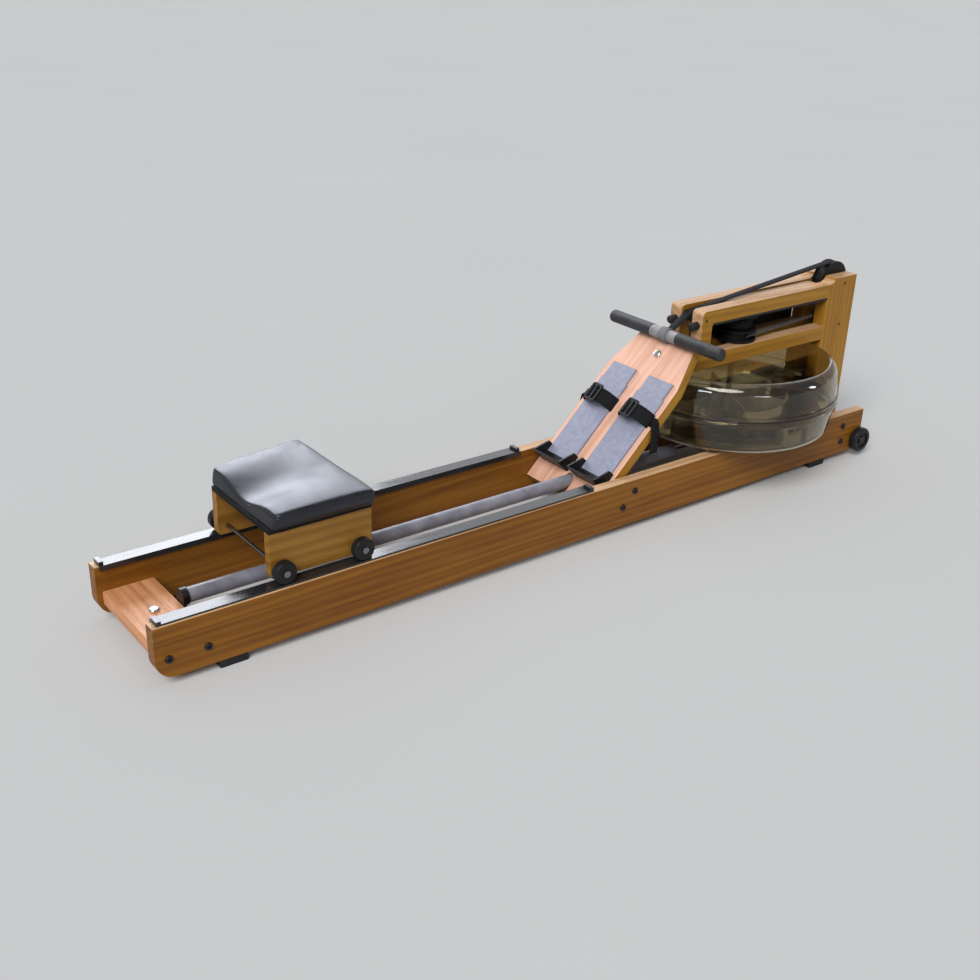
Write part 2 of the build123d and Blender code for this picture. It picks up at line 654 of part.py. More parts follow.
# Foot plates with a narrower tab at the toe
plate_bottom = -PLATE_BELOW
plate_top = plate_bottom + PLATE_LENGTH
tab_start = plate_top - PLATE_TAB_LENGTH
with BuildPart() as foot_plates:
    with BuildSketch(slope):
        for _, sign in SIDES:
            plate_y = sign * PLATE_SPACING / 2
            with Locations(((plate_bottom + tab_start) / 2, plate_y)):
                Rectangle(tab_start - plate_bottom, PLATE_WIDTH)
            with Locations(((plate_bottom + plate_top) / 2, plate_y)):
                Rectangle(PLATE_LENGTH, PLATE_TAB_WIDTH)
    extrude(amount=PLATE_THICKNESS)
    top_faces = foot_plates.faces().group_by(Axis((0, 0, 0), slope_out))[-1]
    chamfer(top_faces.edges(), length=PLATE_CHAMFER)
save(foot_plates, "foot_plates")

# Heel cups: a floor and a wall past the lower end of each plate, with sides that reach
# down past its edges
cup_bed = PLATE_THICKNESS + GAP
cup_back = plate_bottom - CUP_BACK
cup_inner = PLATE_WIDTH / 2 + GAP
cup_outer = cup_inner + CUP_WALL
for side, sign in SIDES:
    plate_y = sign * PLATE_SPACING / 2
    with BuildPart() as heel_cup:
        for length, height in ((CUP_FLOOR_LENGTH, CUP_FLOOR_THICKNESS), (CUP_WALL, CUP_HEIGHT)):
            with BuildSketch(slope.offset(cup_bed)):
                with Locations((cup_back + length / 2, plate_y)):
                    Rectangle(length, 2 * cup_outer)
            extrude(amount=height)
        for edge in (-1, 1):
            wall_y = plate_y + edge * (cup_inner + CUP_WALL / 2)
            wall_origin = slope_origin + Vector(0, wall_y, 0)
            with BuildSketch(Plane(origin=wall_origin, x_dir=slope_x, z_dir=(0, -1, 0))):
                with BuildLine():
                    Polyline(
                        (cup_back, GAP),
                        (cup_back + CUP_LENGTH, GAP),
                        (cup_back + CUP_LENGTH, cup_bed + CUP_TOE_HEIGHT),
                        (cup_back + CUP_WALL, cup_bed + CUP_HEIGHT),
                        (cup_back, cup_bed + CUP_HEIGHT),
                        close=True,
                    )
                make_face()
            extrude(amount=CUP_WALL / 2, both=True)
        out_edges = heel_cup.edges().filter_by(Axis((0, 0, 0), slope_out))
        back_edges = out_edges.group_by(Axis((0, 0, 0), slope_x))[0].sort_by(Axis.Y)
        fillet([back_edges[0], back_edges[-1]], radius=CUP_CORNER)
    save(heel_cup, f"heel_cup_{side}")

# Foot straps, arched over the plates, and their buckles
strap_half_span = PLATE_WIDTH / 2 + FOOT_STRAP_SIDE_ROOM
strap_start = STRAP_PLACE - FOOT_STRAP_WIDTH / 2
inner_rise = FOOT_STRAP_RISE - FOOT_STRAP_THICKNESS
inner_half_span = strap_half_span - FOOT_STRAP_THICKNESS
strap_plane = Plane(origin=on_slope(strap_start, 0), x_dir=(0, 1, 0), z_dir=slope_x)
for side, sign in SIDES:
    plate_y = sign * PLATE_SPACING / 2
    with BuildPart() as foot_strap:
        with BuildSketch(strap_plane):
            with BuildLine():
                ThreePointArc(
                    (plate_y - strap_half_span, 0),
                    (plate_y, FOOT_STRAP_RISE),
                    (plate_y + strap_half_span, 0),
                )
                Line((plate_y + strap_half_span, 0), (plate_y + inner_half_span, 0))
                ThreePointArc(
                    (plate_y + inner_half_span, 0),
                    (plate_y, inner_rise),
                    (plate_y - inner_half_span, 0),
                )
                Line((plate_y - inner_half_span, 0), (plate_y - strap_half_span, 0))
            make_face()
        extrude(amount=FOOT_STRAP_WIDTH)
    save(foot_strap, f"foot_strap_{side}")

buckle_width = FOOT_STRAP_WIDTH + 2 * BUCKLE_SIDE
with BuildPart() as strap_buckles:
    with BuildSketch(slope.offset(FOOT_STRAP_RISE + FIT)):
        with Locations((STRAP_PLACE, PLATE_SPACING / 2), (STRAP_PLACE, -PLATE_SPACING / 2)):
            RectangleRounded(buckle_width, BUCKLE_LENGTH, BUCKLE_SIDE)
            slot_length = (BUCKLE_LENGTH - 3 * BUCKLE_BAR) / 2
            with GridLocations(0, slot_length + BUCKLE_BAR, 1, 2):
                Rectangle(FOOT_STRAP_WIDTH, slot_length, mode=Mode.SUBTRACT)
    extrude(amount=BUCKLE_THICKNESS)
save(strap_buckles, "strap_buckles")

# Bumpers behind the handle
with BuildPart() as handle_rests:
    with BuildSketch(Plane.YZ.offset(arm_rear_x)):
        rest_z = window_top - REST_DROP
        with Locations((side_middle, rest_z), (-side_middle, rest_z)):
            Circle(REST_DIAMETER / 2)
    extrude(amount=-REST_LENGTH)
    fillet(handle_rests.faces().filter_by(Axis.X).group_by(Axis.X)[0].edges(), radius=REST_DIAMETER / 4)
save(handle_rests, "handle_rests")

# Tank shells, turned about the tank's axis, and the seal between their rims
tank_plane = Plane(origin=(tank_x, 0, 0), x_dir=(1, 0, 0), z_dir=(0, -1, 0))
tank_axis = Axis((tank_x, 0, 0), (0, 0, 1))
rim_inner = TANK_RADIUS - TANK_RIM_DEPTH
wall_inner = rim_inner - TANK_WALL
base_inner = TANK_BASE_RADIUS - TANK_WALL
top_inner = TANK_TOP_RADIUS - TANK_WALL
bearing_bore = BEARING_DIAMETER / 2 + FIT
neck_outer = side_inner - NECK_SIDE_ROOM
lug_bottom = rail_top
with BuildPart() as tank_lower:
    with BuildSketch(tank_plane) as lower_section:
        with BuildLine():
            Polyline(
                (0, tank_bottom),
                (TANK_BASE_RADIUS, tank_bottom),
                (rim_inner, seam_low - TANK_RIM_HEIGHT),
                (TANK_RADIUS, seam_low - TANK_RIM_HEIGHT),
                (TANK_RADIUS, seam_low),
                (wall_inner, seam_low),
                (base_inner, tank_floor),
                (neck_outer, tank_floor),
                (neck_outer, tank_floor + BEARING_HEIGHT),
                (bearing_bore, tank_floor + BEARING_HEIGHT),
                (bearing_bore, tank_floor),
                (0, tank_floor),
                close=True,
            )
        make_face()
        base_corner = lower_section.vertices().sort_by_distance((TANK_BASE_RADIUS, tank_bottom))[0]
        fillet(base_corner, radius=TANK_BASE_ROUND)
        floor_corner = lower_section.vertices().sort_by_distance((base_inner, tank_floor))[0]
        fillet(floor_corner, radius=TANK_BASE_ROUND - TANK_WALL)
    revolve(axis=tank_axis)
    lug_height = TANK_LUG_HEIGHT + TANK_WALL / 2
    with Locations((tank_x, 0, lug_bottom + lug_height / 2)):
        with GridLocations(TANK_LUG_SPREAD, 2 * rail_middle, 2, 2):
            Box(TANK_LUG_LENGTH, TANK_LUG_WIDTH, lug_height)
save(tank_lower, "tank_lower")

with BuildPart() as tank_upper:
    with BuildSketch(tank_plane) as upper_section:
        with BuildLine():
            Polyline(
                (wall_inner, seam_high),
                (TANK_RADIUS, seam_high),
                (TANK_RADIUS, seam_high + TANK_RIM_HEIGHT),
                (rim_inner, seam_high + TANK_RIM_HEIGHT),
                (TANK_TOP_RADIUS, tank_top),
                (neck_outer, tank_top),
                (neck_outer, tank_top + NECK_HEIGHT),
                (bearing_bore, tank_top + NECK_HEIGHT),
                (bearing_bore, tank_top - TANK_WALL),
                (top_inner, tank_top - TANK_WALL),
                close=True,
            )
        make_face()
        top_corner = upper_section.vertices().sort_by_distance((TANK_TOP_RADIUS, tank_top))[0]
        fillet(top_corner, radius=TANK_TOP_ROUND)
        inner_top = upper_section.vertices().sort_by_distance((top_inner, tank_top - TANK_WALL))[0]
        fillet(inner_top, radius=TANK_TOP_ROUND - TANK_WALL)
    revolve(axis=tank_axis)
save(tank_upper, "tank_upper")

with BuildPart() as tank_seal:
    with BuildSketch(Plane.XY.offset(seam_low)):
        with Locations((tank_x, 0)):
            Circle(TANK_RADIUS - TANK_RIM_DEPTH / 2)
            Circle(wall_inner, mode=Mode.SUBTRACT)
    extrude(amount=SEAL_THICKNESS)
save(tank_seal, "tank_seal")

# Water, with the paddle's sweep left free
water_bottom = tank_floor + GAP
water_top = tank_floor + WATER_DEPTH
wall_rise = (wall_inner - base_inner) / (seam_low - tank_floor)
water_corner = water_bottom + TANK_BASE_ROUND
sweep_radius = PADDLE_RADIUS + PADDLE_SWEEP_ROOM
with BuildPart() as water:
    with BuildSketch(tank_plane):
        with BuildLine():
            Polyline(
                (sweep_radius, water_bottom),
                (base_inner - TANK_BASE_ROUND, water_bottom),
                (base_inner + wall_rise * (water_corner - tank_floor) - GAP, water_corner),
                (base_inner + wall_rise * WATER_DEPTH - GAP, water_top),
                (sweep_radius, water_top),
                close=True,
            )
        make_face()
    revolve(axis=tank_axis)
save(water, "water")

# Paddle with its upright shaft
shaft_bottom = tank_floor + GAP
shaft_top = window_top
paddle_bottom = tank_floor + PADDLE_LIFT
with BuildPart() as paddle:
    with BuildSketch(Plane.XY.offset(paddle_bottom)):
        with Locations((tank_x, 0)):
            Circle(PADDLE_HUB_DIAMETER / 2)
            with PolarLocations(PADDLE_RADIUS / 2, PADDLE_BLADES):
                Rectangle(PADDLE_RADIUS, PADDLE_BLADE_THICKNESS)
    extrude(amount=PADDLE_BLADE_HEIGHT)
    with BuildSketch(Plane.XY.offset(shaft_bottom)):
        with Locations((tank_x, 0)):
            Circle(SHAFT_DIAMETER / 2)
    extrude(amount=shaft_top - shaft_bottom)
save(paddle, "paddle")

bearing_bottoms = [tank_floor, tank_top, window_top - BRIDGE_THICKNESS / 2 - BEARING_HEIGHT / 2]
with BuildPart() as shaft_bearings:
    for bearing_bottom in bearing_bottoms:
        with BuildSketch(Plane.XY.offset(bearing_bottom)):
            with Locations((tank_x, 0)):
                Circle(BEARING_DIAMETER / 2)
                Circle(SHAFT_DIAMETER / 2 + RUN, mode=Mode.SUBTRACT)
        extrude(amount=BEARING_HEIGHT)
save(shaft_bearings, "shaft_bearings")

# Bridge plate under the top arms, folded down on the left where it closes the window
bridge_rear_x = arm_rear_x + ARM_LEG_WIDTH + ARM_INNER_ROUND
bridge_length = post_rear_x - bridge_rear_x
bridge_side_y = max(side_outer, drum_radius + DRUM_END_ROOM)
bridge_side_z = lower_arm_top - BRIDGE_SIDE_LAP
with BuildPart() as bridge_plate:
    with BuildSketch(Plane.XY.offset(bridge_bottom)):
        with Locations((bridge_rear_x, -side_outer)):
            Rectangle(bridge_length, side_outer + bridge_side_y + BRIDGE_SIDE, align=Align.MIN)
        with Locations((tank_x, 0)):
            Circle(bearing_bore, mode=Mode.SUBTRACT)
    extrude(amount=BRIDGE_THICKNESS)
    with BuildSketch(cross_plane(bridge_side_y)):
        with Locations((bridge_rear_x, bridge_side_z)):
            Rectangle(bridge_length, window_top - bridge_side_z, align=Align.MIN)
    extrude(amount=-BRIDGE_SIDE)
    fold = bridge_plate.edges().filter_by(Axis.X).group_by(Axis.Y)[-1].sort_by(Axis.Z)[-1]
    fillet(fold, radius=BRIDGE_SIDE / 2)
save(bridge_plate, "bridge_plate")

# Drum with a lower groove for the recoil cord and an upper one for the strap
with BuildPart() as strap_drum:
    with BuildSketch(tank_plane):
        with BuildLine():
            cord_zone_bottom = drum_bottom + DRUM_FLANGE
            cord_zone_top = cord_zone_bottom + DRUM_CORD_ZONE
            Polyline(
                (SHAFT_DIAMETER / 2 + RUN, drum_bottom),
                (drum_radius, drum_bottom),
                (drum_radius, cord_zone_bottom),
                (DRUM_CORD_CORE, cord_zone_bottom),
                (DRUM_CORD_CORE, cord_zone_top),
                (drum_radius, cord_zone_top),
                (drum_radius, strap_zone_bottom),
                (DRUM_STRAP_CORE, strap_zone_bottom),
                (DRUM_STRAP_CORE, strap_zone_top),
                (drum_radius, strap_zone_top),
                (drum_radius, drum_top),
                (SHAFT_DIAMETER / 2 + RUN, drum_top),
                close=True,
            )
        make_face()
    revolve(axis=tank_axis)
save(strap_drum, "strap_drum")

# Handle
handle_radius = HANDLE_CENTRE_DIAMETER / 2 + FIT + LOOP_THICKNESS
handle_at = on_slope(FOOTBOARD_ABOVE - HANDLE_TO_EDGE, handle_radius + GAP)
handle_axis = (handle_at.X, handle_at.Z)
grip_start = HANDLE_CENTRE_LENGTH / 2
core_end = HANDLE_LENGTH / 2 - GRIP_END_WALL
with BuildPart() as handle_bar:
    with BuildSketch(cross_plane(0)):
        with Locations(handle_axis):
            Circle(HANDLE_CORE_DIAMETER / 2)
    extrude(amount=core_end, both=True)
    with BuildSketch(cross_plane(0)):
        with Locations(handle_axis):
            Circle(HANDLE_CENTRE_DIAMETER / 2)
    extrude(amount=grip_start, both=True)
save(handle_bar, "handle_bar")

with BuildPart() as handle_grips:
    for _, sign in SIDES:
        with BuildSketch(cross_plane(sign * grip_start)):
            with Locations(handle_axis):
                Circle(GRIP_DIAMETER / 2)
        extrude(amount=-sign * (HANDLE_LENGTH / 2 - grip_start))
    grip_ends = handle_grips.faces().filter_by(Axis.Y).group_by(Axis.Y)
    fillet(grip_ends[0].edges() + grip_ends[-1].edges(), radius=GRIP_END_ROUND)
    with BuildSketch(cross_plane(0)):
        with Locations(handle_axis):
            Circle(HANDLE_CORE_DIAMETER / 2 + FIT)
    extrude(amount=core_end + FIT, both=True, mode=Mode.SUBTRACT)
save(handle_grips, "handle_grips")

with BuildPart() as strap_loop:
    with BuildSketch(cross_plane(0)):
        with Locations(handle_axis):
            Circle(handle_radius)
            Circle(HANDLE_CENTRE_DIAMETER / 2 + FIT, mode=Mode.SUBTRACT)
    extrude(amount=LOOP_WIDTH / 2, both=True)
save(strap_loop, "strap_loop")

# Guide roller and pulleys
with BuildPart() as guide_roller:
    with BuildSketch(cross_plane(0)):
        with Locations(roller_axis):
            Circle(ROLLER_RADIUS)
            Circle(AXLE_DIAMETER / 2 + RUN, mode=Mode.SUBTRACT)
    extrude(amount=ROLLER_WIDTH / 2, both=True)
save(guide_roller, "guide_roller")

with BuildPart() as top_pulley:
    groove = PULLEY_RIM_WIDTH / 2 - PULLEY_FLANGE
    hub_half = side_inner - GAP
    for radius, half in (
        (PULLEY_HUB_DIAMETER / 2, hub_half),
        (PULLEY_RADIUS + PULLEY_FLANGE, PULLEY_RIM_WIDTH / 2),
    ):
        with BuildSketch(cross_plane(0)):
            with Locations(pulley_axis):
                Circle(radius)
        extrude(amount=half, both=True)
    with BuildSketch(cross_plane(0)):
        with Locations(pulley_axis):
            Circle(PULLEY_RADIUS + 2 * PULLEY_FLANGE)
            Circle(PULLEY_RADIUS, mode=Mode.SUBTRACT)
    extrude(amount=groove, both=True, mode=Mode.SUBTRACT)
    drill_across([pulley_axis], AXLE_DIAMETER + 2 * RUN)
save(top_pulley, "top_pulley")

recoil_groove = CORD_TURN_RADIUS - CORD_DIAMETER / 2 - CORD_GROOVE_ROOM
recoil_radius = CORD_TURN_RADIUS + RECOIL_RIM
for place, axis_point in zip(("upper", "lower"), recoil_axes):
    with BuildPart() as recoil_pulley:
        for radius, half in (
            (PULLEY_HUB_DIAMETER / 2, hub_half),
            (recoil_radius, RECOIL_PULLEY_WIDTH / 2),
        ):
            with BuildSketch(cross_plane(0)):
                with Locations(axis_point):
                    Circle(radius)
            extrude(amount=half, both=True)
        with BuildSketch(cross_plane(0)):
            with Locations(axis_point):
                Circle(recoil_radius + RECOIL_RIM)
                Circle(recoil_groove, mode=Mode.SUBTRACT)
        extrude(amount=RECOIL_GROOVE_WIDTH / 2, both=True, mode=Mode.SUBTRACT)
        drill_across([axis_point], AXLE_DIAMETER + 2 * RUN)
    save(recoil_pulley, f"recoil_pulley_{place}")

with BuildPart() as pulley_axles:
    with BuildSketch(cross_plane(0)):
        with Locations(roller_axis, pulley_axis, *recoil_axes):
            Circle(AXLE_DIAMETER / 2)
    extrude(amount=side_outer, both=True)
save(pulley_axles, "pulley_axles")

# Drive strap: roller, top pulley, then a quarter twist on to the drum
roller_line = ROLLER_RADIUS + GAP + STRAP_THICKNESS / 2
pulley_line = PULLEY_RADIUS + GAP + STRAP_THICKNESS / 2
centre_distance = math.hypot(pulley_x - roller_x, pulley_z - roller_z)
centre_angle = math.atan2(pulley_z - roller_z, pulley_x - roller_x)
top_normal = centre_angle + math.acos((roller_line - pulley_line) / centre_distance)
handle_distance = math.hypot(handle_at.X - roller_x, handle_at.Z - roller_z)
handle_angle = math.atan2(handle_at.Z - roller_z, handle_at.X - roller_x)
run_normal = handle_angle + 2 * math.pi - math.acos(roller_line / handle_distance)
roller_middle = (run_normal + top_normal) / 2


def on_roller(angle):
    """The point of the strap's middle line round the roller at this angle."""
    return (roller_x + roller_line * math.cos(angle), roller_z + roller_line * math.sin(angle))


def on_pulley(angle):
    """The point of the strap's middle line round the top pulley at this angle."""
    return (pulley_x + pulley_line * math.cos(angle), pulley_z + pulley_line * math.sin(angle))


twist_x = post_rear_x - STRAP_TWIST_ROOM
twist_z = pulley_z - pulley_line
meet_angle = math.asin(winding_outer / (twist_x - tank_x))
meet_x = tank_x + winding_outer * math.sin(meet_angle)
meet_y = winding_outer * math.cos(meet_angle)
winding_plane = Plane(
    origin=(tank_x, 0, strap_zone_middle - STRAP_WIDTH / 2),
    x_dir=(math.cos(meet_angle), -math.sin(meet_angle), 0),
    z_dir=(0, 0, 1),
)
half_strap = STRAP_THICKNESS / 2
half_pitch = STRAP_PITCH / 2
with BuildPart() as drive_strap:
    with BuildLine(cross_plane(0)) as strap_path:
        ThreePointArc(on_roller(run_normal), on_roller(roller_middle), on_roller(top_normal))
        Line(on_roller(top_normal), on_pulley(top_normal))
        ThreePointArc(on_pulley(top_normal), on_pulley(0), on_pulley(-math.pi / 2))
        Line(on_pulley(-math.pi / 2), (twist_x, twist_z))
    with BuildSketch(Plane(origin=(twist_x, 0, twist_z), x_dir=(0, 1, 0), z_dir=(-1, 0, 0))):
        Rectangle(STRAP_WIDTH, STRAP_THICKNESS)
    sweep(path=strap_path.line)
    for step in range(TWIST_STEPS + 1):
        share = step / TWIST_STEPS
        turned = meet_angle if step else 0
        section_plane = Plane(
            origin=(
                twist_x + share * (meet_x - twist_x),
                share * meet_y,
                twist_z + share * (strap_zone_middle - twist_z),
            ),
            x_dir=(math.sin(turned), math.cos(turned), 0),
            z_dir=(-math.cos(turned), math.sin(turned), 0),
        )
        with BuildSketch(section_plane):
            Rectangle(STRAP_WIDTH, STRAP_THICKNESS, rotation=90 * share)
    loft()
    with BuildSketch(winding_plane):
        with BuildLine():
            for edge in (half_strap, -half_strap):
                for turn in range(STRAP_TURNS):
                    outer = winding_outer - turn * STRAP_PITCH + edge
                    inner = outer - STRAP_PITCH
                    ThreePointArc((0, outer), (half_pitch - outer, half_pitch), (0, -inner))
                    ThreePointArc((0, -inner), (inner, 0), (0, inner))
            Line((0, winding_outer - half_strap), (0, winding_outer + half_strap))
            Line((0, winding_inner - half_strap), (0, winding_inner + half_strap))
        make_face()
    extrude(amount=STRAP_WIDTH)
save(drive_strap, "drive_strap")

# The least gap between the turns of the winding, measured on points of its middle line
turn_points = []
for turn in range(STRAP_TURNS):
    for point in range(GAP_POINTS):
        angle = 2 * math.pi * point / GAP_POINTS
        left_side = angle < math.pi
        radius = winding_outer - turn * STRAP_PITCH - (half_pitch if left_side else STRAP_PITCH)
        centre = half_pitch if left_side else 0
        turn_points.append((-radius * math.sin(angle), centre + radius * math.cos(angle)))
least_gap = min(
    math.dist(turn_points[a], turn_points[b]) - STRAP_THICKNESS
    for a in range(len(turn_points))
    for b in range(a + GAP_POINTS // 2, len(turn_points))
)
print("least gap between turns of the strap", round(least_gap, 2))

# Free run of the strap, from the roller to the loop on the handle
run_start = on_roller(run_normal)
run_length = math.hypot(handle_at.X - run_start[0], handle_at.Z - run_start[1]) - handle_radius - GAP
run_direction = Vector(handle_at.X - run_start[0], 0, handle_at.Z - run_start[1]).normalized()
with BuildPart() as strap_run:
    with BuildSketch(Plane(origin=(run_start[0], 0, run_start[1]), x_dir=(0, 1, 0), z_dir=run_direction)):
        Rectangle(STRAP_WIDTH, STRAP_THICKNESS)
    extrude(amount=run_length)
save(strap_run, "strap_run")

# Recoil cord, from the drum round both recoil pulleys and back along the tube
cord_front_x = pulley_x + CORD_TURN_RADIUS
cord_start_y = -(DRUM_CORD_CORE + CORD_DIAMETER / 2 + GAP)
with BuildPart() as recoil_cord:
    with BuildLine() as cord_path:
        FilletPolyline(
            (tank_x, cord_start_y, cord_z),
            (cord_front_x, 0, cord_z),
            (cord_front_x, 0, tube_z),
            (tube_rear_x, 0, tube_z),
            radius=CORD_TURN_RADIUS,
        )
    with BuildSketch(Plane(origin=cord_path.line @ 0, z_dir=cord_path.line % 0)):
        Circle(CORD_DIAMETER / 2)
    sweep(path=cord_path.line)
save(recoil_cord, "recoil_cord")
cord_length = sum(edge.length for edge in cord_path.edges())
cord_section = math.pi * CORD_DIAMETER**2 / 4
print("recoil cord length", round(cord_length, 1))
print("recoil cord volume over section", round(recoil_cord.part.volume / cord_section, 1))

# Recoil tube and the bracket that holds its rear end
with BuildPart() as recoil_tube:
    with BuildSketch(Plane.YZ.offset(tube_rear_x)):
        with Locations((0, tube_z)):
            Circle(TUBE_DIAMETER / 2)
            Circle(TUBE_DIAMETER / 2 - TUBE_WALL, mode=Mode.SUBTRACT)
    extrude(amount=tube_front_x - tube_rear_x)
save(recoil_tube, "recoil_tube")

socket_radius = TUBE_DIAMETER / 2 + FIT + BRACKET_WALL
with BuildPart() as tube_bracket:
    with BuildSketch(Plane.YZ.offset(rear_spacer_face)):
        plate_height = tube_z - rear_spacer_bottom
        with Locations((0, tube_z - plate_height / 2)):
            Rectangle(2 * socket_radius, plate_height)
        with Locations((0, tube_z)):
            Circle(socket_radius)
    extrude(amount=BRACKET_PLATE)
    with BuildSketch(Plane.YZ.offset(tube_rear_x)):
        with Locations((0, tube_z)):
            Circle(socket_radius)
            Circle(TUBE_DIAMETER / 2 + FIT, mode=Mode.SUBTRACT)
    extrude(amount=BRACKET_SOCKET)
save(tube_bracket, "tube_bracket")

# Seat: cheeks, base, brace, axles and wheels
seat_axle_z = track_top + SEAT_WHEEL_DIAMETER / 2 + GAP
cheek_outer = CHEEK_SPREAD / 2
cheek_inner = cheek_outer - CHEEK_THICKNESS
cheek_bottom = track_top + CHEEK_TRACK_ROOM
seat_rear_axle = seat_x - CHEEK_LENGTH / 2 + SEAT_AXLE_SETBACK
seat_axes = [(seat_rear_axle + SEAT_WHEEL_SPREAD, seat_axle_z), (seat_rear_axle, seat_axle_z)]
cheek_points = [
    (seat_x - CHEEK_LENGTH / 2, cheek_bottom),
    (seat_x + CHEEK_LENGTH / 2, cheek_bottom),
    (seat_x + CHEEK_LENGTH / 2, CHEEK_TOP),
    (seat_x - CHEEK_LENGTH / 2, CHEEK_TOP),
]
for side, sign in SIDES:
    with BuildPart() as seat_cheek:
        side_outline(cheek_points, sign, cheek_inner, CHEEK_THICKNESS)
        fillet(seat_cheek.edges().filter_by(Axis.Y).group_by(Axis.Z)[0], radius=3 * EDGE_ROUND)
        drill_across(seat_axes, SEAT_AXLE_DIAMETER + 2 * FIT)
    save(seat_cheek, f"seat_cheek_{side}")

with BuildPart() as seat_base:
    with Locations((seat_x, 0, CHEEK_TOP + SEAT_BASE_THICKNESS / 2)):
        Box(CHEEK_LENGTH, CHEEK_SPREAD, SEAT_BASE_THICKNESS)
save(seat_base, "seat_base")

with BuildPart() as seat_brace:
    with Locations((seat_x + SEAT_BRACE_PLACE, 0, CHEEK_TOP - SEAT_BRACE_HEIGHT / 2)):
        Box(SEAT_BRACE_THICKNESS, 2 * cheek_inner, SEAT_BRACE_HEIGHT)
save(seat_brace, "seat_brace")

wheel_face = cheek_outer + GAP
seat_wheel_outer = wheel_face + SEAT_WHEEL_BOSS + SEAT_WHEEL_WIDTH
with BuildPart() as seat_axles:
    with BuildSketch(cross_plane(0)):
        with Locations(*seat_axes):
            Circle(SEAT_AXLE_DIAMETER / 2)
    extrude(amount=seat_wheel_outer + GAP, both=True)
    for _, sign in SIDES:
        with BuildSketch(cross_plane(sign * (seat_wheel_outer + GAP))):
            with Locations(*seat_axes):
                Circle(SEAT_AXLE_HEAD_DIAMETER / 2)
        extrude(amount=-sign * SEAT_AXLE_HEAD)
save(seat_axles, "seat_axles")

for place, axis_point in zip(("front", "rear"), seat_axes):
    for side, sign in SIDES:
        with BuildPart() as seat_wheel:
            with BuildSketch(cross_plane(sign * (wheel_face + SEAT_WHEEL_BOSS))):
                with Locations(axis_point):
                    Circle(SEAT_WHEEL_DIAMETER / 2)
            extrude(amount=-sign * SEAT_WHEEL_WIDTH)
            fillet(seat_wheel.edges().filter_by(GeomType.CIRCLE), radius=SEAT_WHEEL_ROUND)
            with BuildSketch(cross_plane(sign * wheel_face)):
                with Locations(axis_point):
                    Circle(SEAT_WHEEL_BOSS_DIAMETER / 2)
            extrude(amount=-sign * SEAT_WHEEL_BOSS)
            with BuildSketch(cross_plane(sign * wheel_face)):
                with Locations(axis_point):
                    Circle(SEAT_AXLE_DIAMETER / 2 + RUN)
            extrude(amount=-sign * (SEAT_WHEEL_BOSS + SEAT_WHEEL_WIDTH), mode=Mode.SUBTRACT)
        save(seat_wheel, f"seat_wheel_{place}_{side}")

# Seat pad: two crowned lobes, wider and higher at the front, and a channel that is
# deepest at the rear
pad_bottom = CHEEK_TOP + SEAT_BASE_THICKNESS
pad_stations = ((-0.5, 1.0), (-0.42, 0.25), (0.0, 0.0), (0.42, 0.25), (0.5, 1.0))
with BuildPart() as seat_pad:
    for station, end_share in pad_stations:
        half = (PAD_WIDTH + station * PAD_FLARE) / 2 - end_share * PAD_DRAW_IN
        crown = pad_bottom + PAD_THICKNESS + station * PAD_RISE - end_share * PAD_END_DROP
        shoulder_z = crown - PAD_SHOULDER
        side_z = (pad_bottom + 2 * shoulder_z) / 3
        channel = PAD_CHANNEL_REAR + (station + 0.5) * (PAD_CHANNEL_FRONT - PAD_CHANNEL_REAR)
        foot = (PAD_WIDTH - PAD_FLARE / 2) / 2 - (1 + end_share) * PAD_DRAW_IN
        brow = half - PAD_DRAW_IN / 2
        with BuildSketch(Plane.YZ.offset(seat_x + station * PAD_LENGTH)):
            with BuildLine():
                Line((-foot, pad_bottom), (foot, pad_bottom))
                ThreePointArc((foot, pad_bottom), (half, side_z), (brow, shoulder_z))
                ThreePointArc((brow, shoulder_z), (half * 0.5, crown), (0, crown - channel))
                ThreePointArc((0, crown - channel), (-half * 0.5, crown), (-brow, shoulder_z))
                ThreePointArc((-brow, shoulder_z), (-half, side_z), (-foot, pad_bottom))
            make_face()
    loft()
save(seat_pad, "seat_pad")
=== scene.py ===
import math

import bmesh
import bpy
from mathutils import Matrix, Vector


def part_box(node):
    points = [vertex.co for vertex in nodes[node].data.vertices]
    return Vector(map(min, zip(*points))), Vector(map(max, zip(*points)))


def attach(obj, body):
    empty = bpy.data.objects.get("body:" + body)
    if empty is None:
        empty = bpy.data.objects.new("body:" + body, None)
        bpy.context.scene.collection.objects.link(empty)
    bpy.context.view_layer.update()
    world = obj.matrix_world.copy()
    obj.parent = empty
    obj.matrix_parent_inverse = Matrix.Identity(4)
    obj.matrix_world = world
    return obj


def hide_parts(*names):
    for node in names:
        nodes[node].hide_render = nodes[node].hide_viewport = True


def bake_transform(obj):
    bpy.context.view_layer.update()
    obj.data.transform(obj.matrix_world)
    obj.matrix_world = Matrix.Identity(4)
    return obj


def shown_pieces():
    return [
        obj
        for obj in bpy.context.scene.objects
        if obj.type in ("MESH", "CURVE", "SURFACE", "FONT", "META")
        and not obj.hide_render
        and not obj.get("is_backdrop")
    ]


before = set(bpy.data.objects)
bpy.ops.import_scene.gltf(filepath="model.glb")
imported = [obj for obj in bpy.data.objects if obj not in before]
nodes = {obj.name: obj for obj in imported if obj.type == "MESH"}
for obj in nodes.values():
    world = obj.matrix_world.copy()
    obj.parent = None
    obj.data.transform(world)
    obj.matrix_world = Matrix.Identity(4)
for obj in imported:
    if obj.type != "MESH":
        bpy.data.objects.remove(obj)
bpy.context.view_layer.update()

scene = bpy.context.scene

